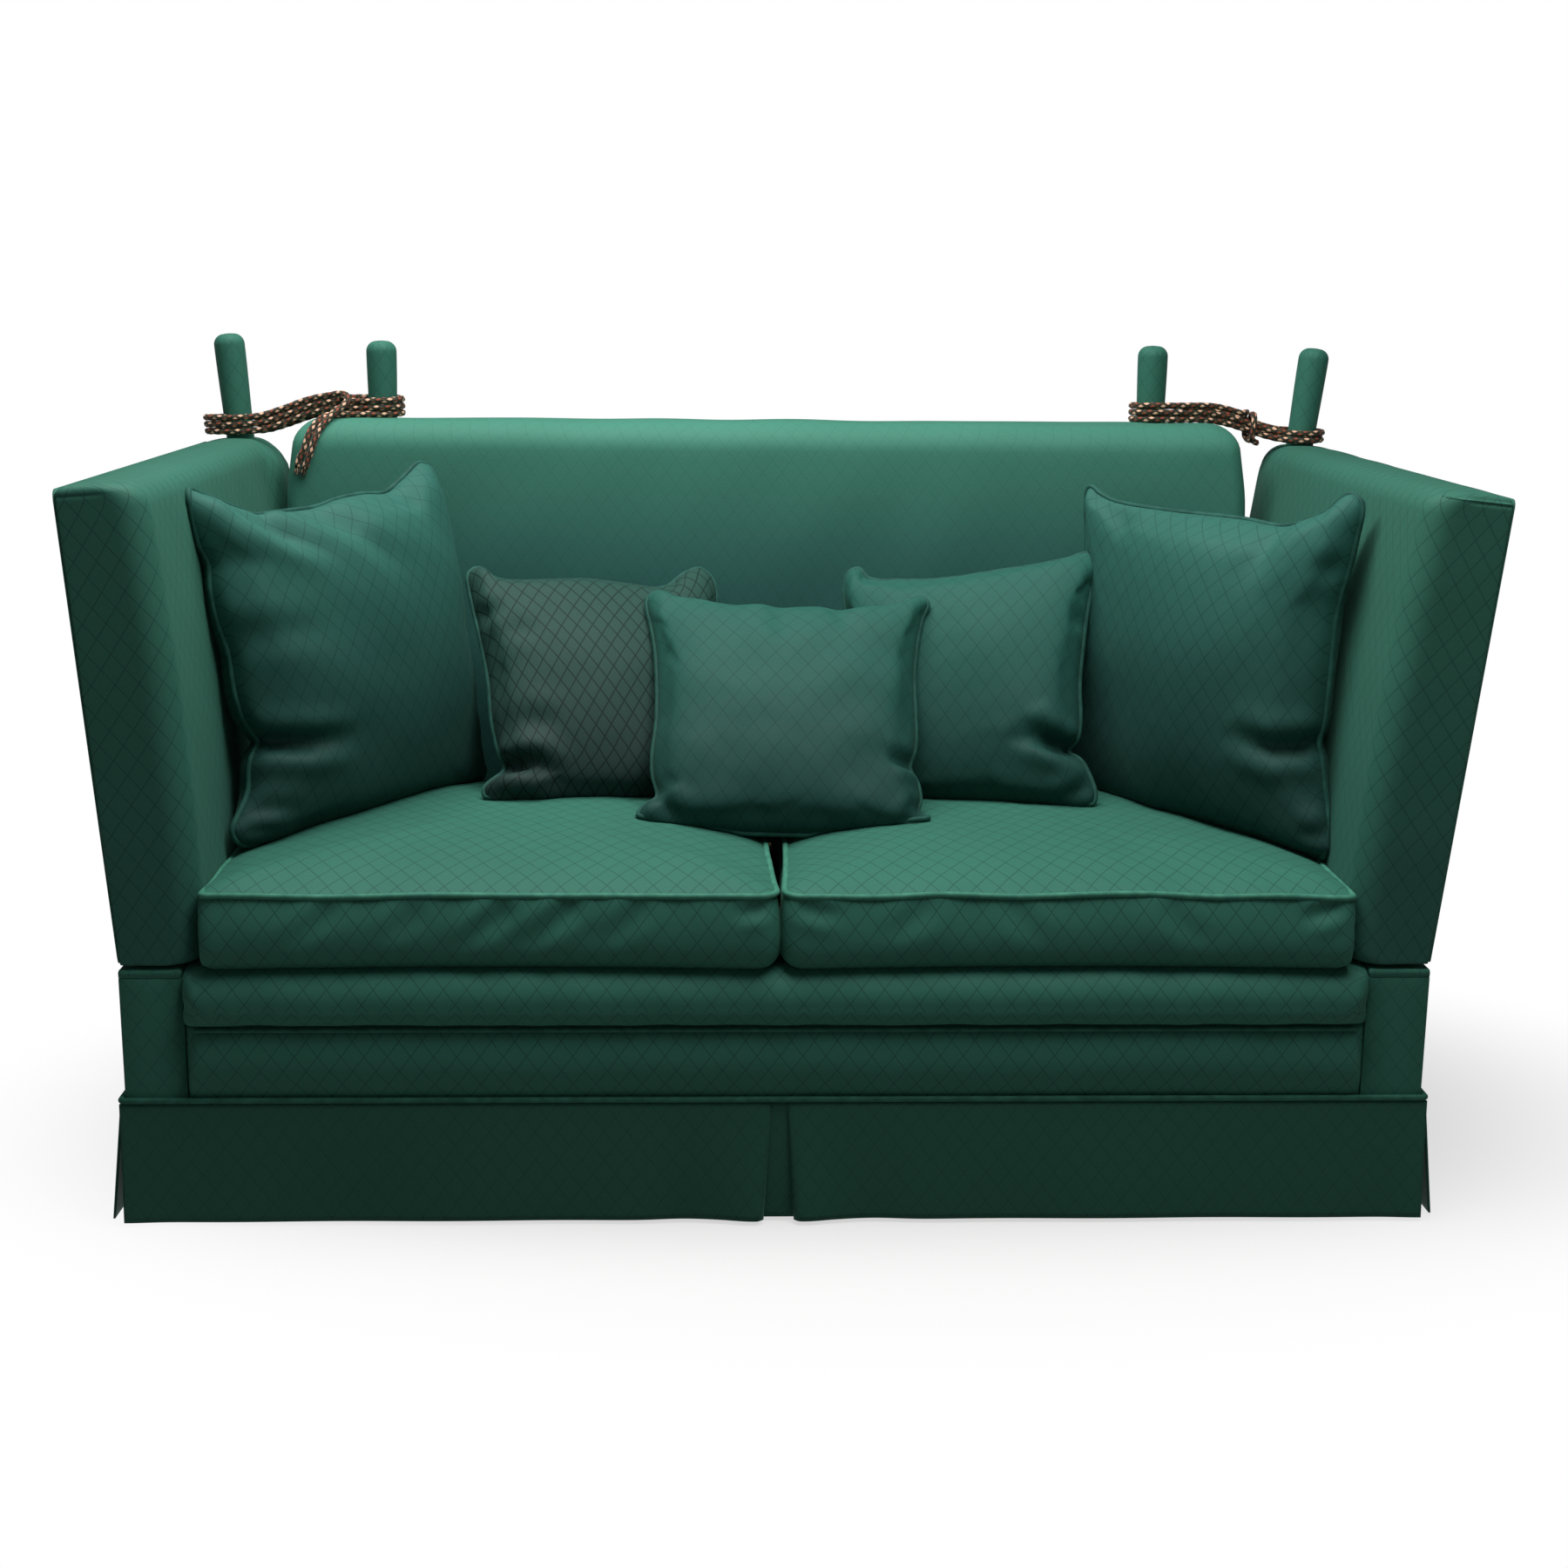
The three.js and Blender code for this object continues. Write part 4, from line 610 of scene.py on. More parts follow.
MATERIALS = {
    "velvet": damask("green_satin_damask", "#336a59", "#36705f", "#457d6d", "#1d473e", 0.4),
    # The arm's cloth gets painted shade: darker towards the bottom, below 0.95 m and fully below 0.4 m
    "arm": damask("green_satin_damask_arm", "#346958", "#376f5e", "#457d6c", "#19403a", 0.62,
                  soiled="#e2e2e9", soiled_heights=(0.4, 0.95)),
    # The back's cloth is a lighter copy of the same damask, as painted light, with painted shade darkening it
    # below 1.1 m and fully below 0.79 m
    "back": damask("green_satin_damask_back", "#3f7c69", "#43826f", "#53917c", "#2a594d", 0.22,
                   soiled="#c4c2d6", soiled_heights=(0.79, 1.1)),
    "seat": damask("green_satin_damask_seat", "#346c5b", "#377261", "#468070", "#19403a", 0.62),
    # Painted shade: the large cushions' satin is darker towards the bottom, below 1 m and fully below 0.54 m
    "satin": damask("green_satin", "#2e6259", "#32685c", "#407668", "#1c463e", 0.62, sheen=0.12,
                    soiled="#c9b5bb", soiled_heights=(0.54, 1)),
    # A darker copy of the cushions' satin, as painted shade, with more painted shade darkening it below 0.88
    # m
    "small_satin": damask("soft_green_satin", "#285c52", "#2a6053", "#376d60", "#173f38", 0.5, sheen=0.12,
                          soiled="#d2c3c8", soiled_heights=(0.55, 0.88)),
    # Painted shade: the patterned cushion's cloth is darker towards the bottom, below 0.86 m and fully below
    # 0.55 m
    "patterned": damask("faded_green_damask", "#284942", "#2c4e45", "#3a5c52", "#0f241e", 0.8,
                        line_width=1.8 * MM, diamond=(25 * MM, 38 * MM), sheen=0.12,
                        soiled="#e8ccd6", soiled_heights=(0.55, 0.86)),
    # The skirt's cloth is a darker copy of the same damask, as painted shade
    "skirt": damask("green_satin_damask_skirt", "#295849", "#2c5e4d", "#396a5a", "#18392f", 0.36),
    "piping": bias_satin("bias_cut_satin_piping", "#27594a", "#366f5e"),
    # The seat cushions' piping is a lighter copy of the piping's satin, as painted light on the lit cord
    "seat_piping": bias_satin("bright_bias_cut_satin_piping", "#3a7865", "#4d9079"),
    # The scatter cushions' piping is a darker copy of the piping's satin, as painted shade
    "cushion_piping": bias_satin("dark_bias_cut_satin_piping", "#224c43", "#2e6055"),
    "rope": plaited_chenille(),
    "hessian": jute_hessian(),
    "steel": zinc_plated_steel(),
    "beech_across": planed_beech("planed_beech_across", 0),
    "beech_along": planed_beech("planed_beech_along", 1),
    "beech_upright": planed_beech("planed_beech_upright", 2),
}


# Ropes: the surface's sizes in metres, and the routes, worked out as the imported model's are, in millimetres
ROPE_STATION = 2.2 * MM
ROPE_SIDES = 14
ROPE_SWELL = 0.9 * MM
ROPE_WAIST = 0.35 * MM
ROPE_PITCH = 11.8
ROPE_CLEARANCE = 2
ROPE_REST_GAP = 0.5
ROPE_STEPS = 6
ROPE_CURVE_STEPS = 16
ROPE_DROP = (0.32, 0.92)
ROPE_ARM_ROW = 0.5
POST_HEAD = 26
BACK_POST_X = 672
BACK_POST_Y = 897
ARM_POST_INSET = 68.7
ARM_POST_Y = 908
HITCH_START = 0.58
HITCH_TURNS = 1.6
HITCH_RADIUS = 23
HITCH_SQUARE = 2 / 3
RIGHT_START = 0.42
RIGHT_FLARE = 10.5
RIGHT_SETTLE = 1.4
FIRST_END = [(131, 113, -78), (129.5, 112, -68.5), (119.2, 109.5, -46.8), (114.5, 105, -30),
             (108.2, 97.5, -15.5), (100.2, 84.5, -4), (89, 63, 4.5), (60, 46.5, 6.4), (28, 37, 6.2)]
LAST_END = [(67, 22, 40.5), (57, 34, 37.5), (56, 44, 27.5), (64, 55, 18.5), (72.5, 65.5, 11.5), (80, 76.5, 4),
            (88.6, 88.4, -6.6), (96.4, 99.4, -19.5), (102.4, 107, -34), (107.2, 111.2, -50),
            (115.2, 113.6, -71), (119, 114.8, -81)]


def arm_place(side, p, y, v):
    """A place in an arm's leaning frame, inwards from its outer face, in the sofa's frame, in metres."""
    lean = ARM_LEAN[side]
    x = side * (HALF_BASE - p * math.cos(lean) + v * math.sin(lean))
    z = HINGE_HEIGHT + p * math.sin(lean) + v * math.cos(lean)
    return np.stack(np.broadcast_arrays(x, y, z), axis=-1)


class Winding:
    """A rope's turns round an arm post and a back post, climbing one row a turn."""

    def __init__(self, side, slack, waist, waist_share, rest_gap, face=1):
        self.side, self.slack, self.waist, self.waist_share, self.face = side, slack, waist, waist_share, face
        radius = ROPE_DIAMETER / MM / 2
        self.ring = POST_HEAD + radius + ROPE_CLEARANCE
        lean = ARM_LEAN[side]
        self.foot = arm_place(side, ARM_POST_INSET * MM, ARM_POST_Y * MM, ARM_LENGTH + ARM_TOP_CROWN) / MM
        self.tilt = side * math.tan(lean)
        self.arm_z = self.foot[2] + self.ring * math.sin(lean) + radius + rest_gap
        self.back_z = BACK_HEIGHT / MM + radius + rest_gap
        self.back_x = side * BACK_POST_X

    def at(self, share, climb, across):
        """A place between the posts: share is 0 at the back post and 1 at the arm's; climb counts rows."""
        drop = float(smooth_step(share, *ROPE_DROP))
        z = self.back_z + (self.arm_z - self.back_z) * drop + (climb - ROPE_ARM_ROW * share) * ROPE_PITCH
        y = BACK_POST_Y + (ARM_POST_Y - BACK_POST_Y) * share + across * self.face
        arm_x = self.foot[0] + self.tilt * (z - self.foot[2])
        return [self.back_x + (arm_x - self.back_x) * share, y, z]

    def width(self, share):
        """How far a strand runs from the posts' middle plane; the strands draw together at the waist."""
        stage = share / self.waist_share if share < self.waist_share else (1 - share) / (1 - self.waist_share)
        return self.ring - (self.ring - self.waist) * math.sin(math.pi / 2 * stage) ** 2

    def span(self, start, end, front, climb, rise, steps=ROPE_STEPS):
        """A strand between the posts, in front of them or behind."""
        places = []
        for i in range(1, steps + 1):
            share = start + (end - start) * i / steps
            places.append(self.at(share, climb + rise * i / steps, (-1 if front else 1) * self.width(share)))
        return places

    def turn(self, at_arm, climb, rise):
        """Half a turn round the outer side of a post."""
        places = []
        reach = (self.ring + self.slack if at_arm else -self.ring) * self.side
        for i in range(1, ROPE_STEPS + 1):
            t = i / ROPE_STEPS
            across = (1 if at_arm else -1) * self.ring * math.cos(math.pi * t)
            x, y, z = self.at(1 if at_arm else 0, climb + rise * t, across)
            places.append([x + reach * math.sin(math.pi * t), y, z])
        return places

    def wind(self, turns):
        """Whole turns, one above the other, that end at the arm post."""
        places = []
        for k in range(turns):
            places += self.turn(False, k, 1 / 4) + self.span(0, 1, False, k + 1 / 4, 1 / 4)
            places += self.turn(True, k + 1 / 2, 1 / 4)
            if k + 1 < turns:
                places += self.span(1, 0, True, k + 3 / 4, 1 / 4)
        return places


def spline(points, steps, alpha=0.5):
    """Points along a centripetal Catmull-Rom curve through the given ones, with steps between each two."""
    path = np.asarray(points, float)
    path = np.concatenate([[2 * path[0] - path[1]], path, [2 * path[-1] - path[-2]]])
    made = [path[1]]
    for k in range(1, len(path) - 2):
        p = path[k - 1:k + 3]
        knots = np.concatenate([[0], np.cumsum(np.linalg.norm(np.diff(p, axis=0), axis=1) ** alpha)])
        for t in np.linspace(knots[1], knots[2], steps + 1)[1:]:
            a = [(knots[i + 1] - t) / (knots[i + 1] - knots[i]) * p[i]
                 + (t - knots[i]) / (knots[i + 1] - knots[i]) * p[i + 1] for i in range(3)]
            b = [(knots[i + 2] - t) / (knots[i + 2] - knots[i]) * a[i]
                 + (t - knots[i]) / (knots[i + 2] - knots[i]) * a[i + 1] for i in range(2)]
            made.append((knots[2] - t) / (knots[2] - knots[1]) * b[0]
                        + (t - knots[1]) / (knots[2] - knots[1]) * b[1])
    return np.array(made)


def evenly(path, count):
    """count points at equal distances along a path."""
    return places_at(path, np.linspace(0, distances(path)[-1], count))


def hanging_end(side, route, joined, first):
    """A hanging end from its places, out from the back post, forwards from it and up from the back's top."""
    places = [[side * (BACK_POST_X + out), BACK_POST_Y - forward, BACK_HEIGHT / MM + up]
              for out, forward, up in route]
    places = places + [joined] if first else [joined] + places
    points = evenly(spline(places, 8), ROPE_CURVE_STEPS + 1).tolist()
    return points if first else points[1:]


def left_route():
    """Both ends of the left rope hang side by side in front of the back's corner."""
    rope = Winding(-1, 22, 12, 0.5, ROPE_REST_GAP)
    leave = 1 / 3
    last = rope.span(1, leave, True, 3 - 1 / 4, (1 - leave) / 4, round((1 - leave) * ROPE_STEPS))
    return (hanging_end(-1, FIRST_END, rope.at(0, 0, -rope.width(0)), True) + rope.wind(3) + last
            + hanging_end(-1, LAST_END, last[-1], False))


def right_route():
    """The right rope starts behind, and its end is hitched round the other strands near the arm post."""
    rope = Winding(1, 2, 8.5, 0.7, ROPE_REST_GAP - RIGHT_SETTLE, -1)
    first = []
    for i in range(4):
        stage = 1 - i / 3
        share = RIGHT_START * stage
        first.append(rope.at(share, ROPE_ARM_ROW * share, -rope.width(share) - RIGHT_FLARE * stage))
    turns = 2
    route = first + rope.wind(turns) + rope.span(1, 0, True, turns - 1 / 4, 1 / 4)
    route += rope.turn(False, turns, 1 / 4) + rope.span(0, HITCH_START, False, turns + 1 / 4, HITCH_START / 2)
    share_step = ROPE_PITCH / (rope.at(1, 0, 0)[0] - rope.at(0, 0, 0)[0])
    bend = lambda value: math.copysign(abs(value) ** HITCH_SQUARE, value)
    steps = 4 * ROPE_STEPS
    for i in range(2, int(HITCH_TURNS * steps) + 1):
        angle = 2 * math.pi * i / steps + math.pi / 3
        share = HITCH_START + share_step * (1 + i / steps)
        x, y, z = rope.at(share, turns / 2, HITCH_RADIUS * bend(math.cos(angle)))
        route.append([x, y, z + HITCH_RADIUS * bend(math.sin(angle))])
    ahead = np.array(route[-1]) - np.array(route[-2])
    route.append((np.array(route[-1]) + ahead / np.linalg.norm(ahead) * ROPE_DIAMETER / MM).tolist())
    return route


# A frayed tip: its yarns' number, radius, shortest and longest length, how far they start inside the plait,
# how far they spread at their roots and at their ends, and how far they sag
FRAY_YARNS = 22
FRAY_RADIUS = 0.75 * MM
FRAY_LENGTHS = (8 * MM, 19 * MM)
FRAY_START = 2 * MM
FRAY_ROOT_SPREAD = 3 * MM
FRAY_END_SPREAD = 4.5 * MM
FRAY_SAG = 2 * MM


def make_fray(name, place, way):
    """A tuft of loose yarns where a rope's cut end has opened."""
    chance = np.random.default_rng(len(name))
    way = way / np.linalg.norm(way)
    sides, t = 5, np.linspace(0, 1, 6)[:, None]
    skin = Skin()
    for _ in range(FRAY_YARNS):
        side = chance.normal(size=3)
        side -= way * (side @ way)
        side /= np.linalg.norm(side)
        spread = chance.uniform(0.1, 1)
        length = chance.uniform(*FRAY_LENGTHS)
        path = place + way * (length * t - FRAY_START)
        path += side * spread * (FRAY_ROOT_SPREAD + FRAY_END_SPREAD * t**1.6)
        path[:, 2] -= FRAY_SAG * t[:, 0] ** 2
        radius = FRAY_RADIUS * (1 - 0.75 * t)[:, None]
        rings = capped(path, rings_round(path, radius, side, np.cross(way, side), sides))
        run = np.linspace(0, length, len(rings)) + chance.uniform(0, 12) * MM
        skin.band(rings, cloth_grid(run, np.linspace(0, 3, sides + 1) * MM))
    return skin.build(name)


def make_rope(name, route, frayed):
    """A plaited rope whose surface swells at each pick, closed at both ends, with frayed tips."""
    points = spline(np.array(route) * MM, 5)
    length = float(distances(points)[-1])
    points = evenly(points, int(length / ROPE_STATION))
    rope = tube(name + "_plait", points, ROPE_DIAMETER / 2, ROPE_SIDES, merge=False)
    along = np.repeat(np.linspace(0, length, len(points)), ROPE_SIDES) / ROPE_PLAIT
    turned = ROPE_PLAIT_TURNS * np.tile(np.arange(ROPE_SIDES) / ROPE_SIDES, len(points))
    plait = np.abs(np.sin(math.pi * (along + turned)) * np.sin(math.pi * (along - turned)))
    # The first and last rings close the ends, and stay where they are.
    rise = np.zeros(len(rope.data.vertices))
    rise[ROPE_SIDES:-ROPE_SIDES] = ROPE_SWELL * plait - ROPE_WAIST
    puff(rope, rise)
    dress(rope, "rope", name, slot="rope")
    ends = (("first", points[0], points[0] - points[3]), ("last", points[-1], points[-1] - points[-4]))
    tips = [dress(make_fray(f"{name}_fray_{end}", place, way), "rope", slot="rope")
            for end, place, way in ends if frayed]


# Upholstery helpers
# How long and how high the waves in each stuffed surface are, and the seed that they are drawn from
UNEVEN = {
    "arm": (150 * MM, 0.9 * MM, 3), "border": (120 * MM, 0.8 * MM, 21), "lip": (90 * MM, 1.0 * MM, 31),
    "back": (170 * MM, 1.6 * MM, 41), "seat": (150 * MM, 2.2 * MM, 51),
}
HEAD_SHARES = (1, 0.8, 0.6, 0.4, 0.2, 0)
FOOT_SHARES = (0, 0.5, 1)
# How thin a padded panel may get at its edge
PLATE_LEAST = 2 * MM


def inward(ring, shares, level=None):
    """Copies of a flat ring drawn in towards its middle line, or towards that line at another level."""
    low, high = ring.min(axis=0), ring.max(axis=0)
    half = (high - low) / 2
    room = half - half.min()
    core = (low + high) / 2 + np.clip(ring - (low + high) / 2, -room, room)
    if level is not None:
        core[:, 1] = level
    return [core + (ring - core) * share for share in shares]


def dress(obj, material, *nodes, body="sofa", slot="velvet", fill=None):
    """Gives a piece its cloth and its body, and hides the solids that it stands for; its slot is not used."""
    obj.data.materials.append(MATERIALS[material])
    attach(obj, body)
    if nodes:
        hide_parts(*nodes)
    return obj


def soften(obj, piece, side=0, where=None):
    """Lets a piece's surface rise and sink a little, as hand-stuffed upholstery does."""
    size, height, seed = UNEVEN[piece]
    places = places_of(obj)
    rise = ripple(places, size, seed + side) * height
    if where is not None:
        rise *= where(places)
    puff(obj, rise)


def levels_between(low, high, foot_round, head_round):
    """Heights from low to high that lie closer together where the edges are round."""
    angles = np.radians(np.linspace(0, 90, 9))
    foot = low + foot_round * (1 - np.cos(angles))
    head = high - head_round * (1 - np.cos(angles[::-1]))
    count = max(2, int(round((head[0] - foot[-1]) / WALL_STEP)))
    return np.concatenate([foot, np.linspace(foot[-1], head[0], count + 1)[1:-1], head])


def make_box(name, foot, walls, runs, head, head_uvs, place=np.asarray):
    """A padded box: a foot, walls up which the cloth runs, and a head with cloth coordinates of its own."""
    middle = run_length(walls[len(walls) // 2])
    skin = Skin()
    skin.band([place(ring) for ring in foot], [close_ring(ring[:, :2]) for ring in foot])
    skin.band([place(ring) for ring in walls], [raised(middle, run) for run in runs])
    skin.band([place(ring) for ring in head], head_uvs)
    return skin.build(name)


def make_plate(name, ring, place, thickness, edge, swell=None, level=None):
    """A thin padded panel: a flat back, soft edges and a front that swells. ring is its outline, and place
    turns two numbers across the panel and one out of it into a place."""
    shares = np.array((1, 0.985, 0.965, 0.94, 0.9, 0.84, 0.76, 0.66, 0.52, 0.36, 0.18, 0))
    half = np.min(ring.max(axis=0) - ring.min(axis=0)) / 2
    flats = inward(ring, FOOT_SHARES, level)
    rings = [place(*flat.T, np.zeros(len(flat))) for flat in flats]
    for share, flat in zip(shares, inward(ring, shares, level)):
        rise = thickness - inset(half * (1 - share), edge)
        if swell:
            rise = rise + swell(*flat.T, 1 - share)
        rings.append(place(*flat.T, np.broadcast_to(np.maximum(rise, PLATE_LEAST), len(flat))))
        flats.append(flat)
    skin = Skin()
    skin.band(rings, [close_ring(flat) for flat in flats])
    return skin.build(name)


# Arms
def arm_foot(side, p):
    """Where the level underside of the leaning arm is, at a distance in from its outer face."""
    return ARM_FOOT_GAP / math.cos(ARM_LEAN[side]) - np.asarray(p) * math.tan(ARM_LEAN[side])


def arm_inner(side, v):
    """How far in the padded inner face of an arm stands, at a height up the arm."""
    foot = arm_foot(side, ARM_THICKNESS)
    share = np.clip((np.asarray(v) - foot) / (ARM_LENGTH - foot), 0, 1)
    return ARM_THICKNESS + ARM_CROWN * np.sin(math.pi * share) ** ARM_CROWN_FULLNESS


def clear_of_arm(points, side, gap):
    """Moves points that stand in an arm out to its inner face."""
    lean = ARM_LEAN[side]
    inwards = HALF_BASE - side * points[:, 0]
    rise = points[:, 2] - HINGE_HEIGHT
    p = inwards * math.cos(lean) + rise * math.sin(lean)
    v = rise * math.cos(lean) - inwards * math.sin(lean)
    push = np.maximum(arm_inner(side, v) + gap - p, 0)
    moved = points.copy()
    moved[:, 0] -= side * push * math.cos(lean)
    moved[:, 2] += push * math.sin(lean)
    return moved


def make_arm_padding(side, name):
    """Padding over the front, inner face, top and rear of an arm, tucked along the top of its front."""
    foot, length = arm_foot(side, ARM_THICKNESS), ARM_LENGTH
    heights = levels_between(foot, length, ARM_FOOT_RADIUS, ARM_TOP_INNER_RADIUS)
    near_tuck = length - TUCK_DROP - np.array([-3, -1.5, 0, 1.5, 3, 6]) * MM
    heights = np.unique(np.concatenate([heights, near_tuck]))
    counts, arc = (14, 70, 10, 40), 9
    rings = []
    for v in heights:
        below, above = length - v, v - foot
        x0 = ARM_OUTER + inset(below, ARM_TOP_OUTER_RADIUS)
        x1 = arm_inner(side, v) - inset(below, ARM_TOP_INNER_RADIUS) - inset(above, ARM_FOOT_RADIUS)
        y0 = inset(below, ARM_TOP_FRONT_RADIUS) + inset(above, ARM_FOOT_END_RADIUS)
        y1 = BASE_DEPTH - inset(below, ARM_TOP_REAR_RADIUS) - inset(above, ARM_FOOT_END_RADIUS)
        front = min(ARM_FRONT_RADIUS + inset(below, ARM_FRONT_WIDENING), (x1 - x0) * 0.55)
        radii = [ARM_EDGE_RADIUS, front, ARM_REAR_RADIUS, ARM_EDGE_RADIUS]
        ring, _ = outline(x0, x1, y0, y1, radii, counts, arc)
        tuck = TUCK_DEPTH * math.exp(-(((below - TUCK_DROP) / TUCK_WIDTH) ** 2))
        inwards = smooth_step(ring[:, 0], x0 + ARM_FULL_FROM, x1)
        beside_back = smooth_step(ring[:, 1], *ARM_FULL_DEPTHS) * inwards
        high_up = smooth_step(above, *ARM_FULL_HEIGHTS) * smooth_step(below, *ARM_FULL_TOP)
        ring[:, 0] += ARM_REAR_FULLNESS[side] * beside_back * high_up
        front_face = smooth_step(ring[:, 1] - y0, *TUCK_FACE)
        ring[:, 1] += tuck * front_face * smooth_step(ring[:, 0] - x0, *TUCK_REACH)
        share = above / (length - foot)
        rings.append(raised(ring, arm_foot(side, ring[:, 0]) * (1 - share) + length * share))
    low = [raised(flat, arm_foot(side, flat[:, 0])) for flat in inward(rings[0][:, :2], FOOT_SHARES)]
    # The cloth of the top carries on from the inner face, which starts at this point of each ring.
    start, halfway = counts[0] + arc + 1, rings[len(rings) // 2]
    along = run_length(halfway)[start] - halfway[start, 1]
    runs = heights - heights[0]
    flats = inward(rings[-1][:, :2], HEAD_SHARES)
    head = [raised(flat, length + ARM_TOP_CROWN * (1 - share**2)) for share, flat in zip(HEAD_SHARES, flats)]
    over = runs[-1] + rings[-1][:, 0].max()
    head_uvs = [close_ring(np.column_stack([flat[:, 1] + along, over - flat[:, 0]])) for flat in flats]
    arm = make_box(name + "_arm_padding", low, rings, runs, head, head_uvs, lambda r: arm_place(side, *r.T))
    soften(arm, "arm", side)
    dress(arm, "arm", name + "_arm_pad", body=name + "_arm", fill=0.9)


def make_arm_outside(side, name):
    """The arm's outside panel, slip-stitched round its edge over thin wadding."""
    reveal, foot_gap, foot_corner, top_corner = 2 * MM, 3 * MM, 4 * MM, 12 * MM
    rear, thickness, edge, swell = 4 * MM, 3.8 * MM, 3.4 * MM, 1.4 * MM
    ring, _ = outline(reveal, BASE_DEPTH - reveal, arm_foot(side, 0) + foot_gap, ARM_LENGTH - reveal,
                      [foot_corner, foot_corner, top_corner, top_corner], (80, 56, 80, 56), 6)
    panel = make_plate(name + "_arm_outside_panel", ring, lambda a, b, d: arm_place(side, rear - d, a, b),
                       thickness, edge, lambda a, b, depth: swell * (1 - (1 - depth) ** 2))
    dress(panel, "velvet", name + "_arm_outside", body=name + "_arm")


# Posts
POST_FOOT_RADIUS = 23.5 * MM
POST_HEAD_RADIUS = POST_HEAD * MM
POST_ROUND = 18 * MM
POST_CROWN = 0.6 * MM
POST_GATHERS = 14
POST_GATHERED = 40 * MM
# An arm's post above the arm's top, how much taller the left one is than that and the right one shorter, and
# how deep it stands in the padding
ARM_POST_RISE = 175 * MM
ARM_POST_DIFFERENCE = 5 * MM
ARM_POST_SUNK = 46 * MM


def make_post(node_name, body, place, height):
    """A turned post under cloth that is gathered over its rounded head."""
    around = 72
    angles = 2 * math.pi * np.arange(around) / around
    girth = np.arange(around + 1) / around * 2 * math.pi * POST_HEAD_RADIUS
    shaft = np.linspace(0, height - POST_HEAD_RADIUS, 16)
    dome = height - POST_ROUND * (1 - np.sin(np.radians(np.linspace(0, 90, 10))))
    profile = [(0, 0), (POST_FOOT_RADIUS * 0.5, 0)]
    for z in np.unique(np.round(np.concatenate([shaft, dome]), 6)):
        radius = POST_FOOT_RADIUS + (POST_HEAD_RADIUS - POST_FOOT_RADIUS) * smooth_step(z / height, 0.1, 0.9)
        profile.append((radius - inset(height - z, POST_ROUND), z))
    crown = profile[-1][0]
    profile += [(crown * share, height + POST_CROWN * (1 - share**2)) for share in (0.75, 0.5, 0.25, 0)]
    # The cloth's run starts from the foot's edge.
    runs = distances(np.array([profile[2], *profile]))[1:]
    rings, uvs = [], []
    for (radius, z), run in zip(profile, runs):
        near_head = smooth_step(z, height - POST_GATHERED, height)
        gathered = radius * (1 - 0.03 * near_head * (0.5 + 0.5 * np.cos(angles * POST_GATHERS)) ** 2)
        rings.append(place(gathered * np.cos(angles), gathered * np.sin(angles), np.full(around, z)))
        uvs.append(raised(girth, run))
    skin = Skin()
    skin.band(rings, uvs)
    dress(skin.build(node_name + "_covered"), "velvet", node_name, body=body)


def make_posts(side, name):
    """A post on the back's rail and one on the arm's, which leans with it."""
    low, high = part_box("back_post_" + name)
    foot = np.array([side * BACK_POST_X * MM, BACK_POST_Y * MM, low.z])
    make_post("back_post_" + name, "sofa", lambda a, b, c: np.column_stack([a, b, c]) + foot,
              high.z - low.z + side * MM)
    make_post(name + "_arm_post", name + "_arm",
              lambda a, b, c: arm_place(side, ARM_POST_INSET * MM - side * a, ARM_POST_Y * MM + b,
                                        ARM_LENGTH - ARM_POST_SUNK + c),
              ARM_POST_RISE - side * ARM_POST_DIFFERENCE + ARM_POST_SUNK)


# Base
COVER_PADDING = 12 * MM
COVER_WALL = 4 * MM
COVER_EDGE = 3 * MM
COVER_CORNER = 5 * MM
COVER_HEM = 4 * MM
COVER_SEAM = BASE_TOP - COVER_PADDING
STRIP_CORNER = 3 * MM
STRIP_EDGE = 5 * MM
STRIP_GAP = 0.2 * MM


def cover_wall(out):
    """The plan of an end cover: a channel that is open on its inner side, drawn in all round by out."""
    steps = 60
    turn = np.radians(np.linspace(0, 90, 6))
    front = [(COVER_INNER, out)]
    front += [(HALF_BASE - COVER_CORNER + (COVER_CORNER - out) * math.sin(t),
               COVER_CORNER - (COVER_CORNER - out) * math.cos(t)) for t in turn]
    length = BASE_DEPTH - 2 * COVER_CORNER
    outside = front + [(HALF_BASE - out, COVER_CORNER + length * i / steps) for i in range(1, steps)]
    outside += [(x, BASE_DEPTH - y) for x, y in front[::-1]]
    wall = HALF_BASE - COVER_WALL + out
    length = BASE_DEPTH - 2 * COVER_PADDING
    inside = [(COVER_INNER, BASE_DEPTH - COVER_PADDING + out), (wall, BASE_DEPTH - COVER_PADDING + out)]
    inside += [(wall, COVER_PADDING + length * (1 - i / steps)) for i in range(1, steps)]
    inside += [(wall, COVER_PADDING - out), (COVER_INNER, COVER_PADDING - out)]
    return np.array(outside + inside)


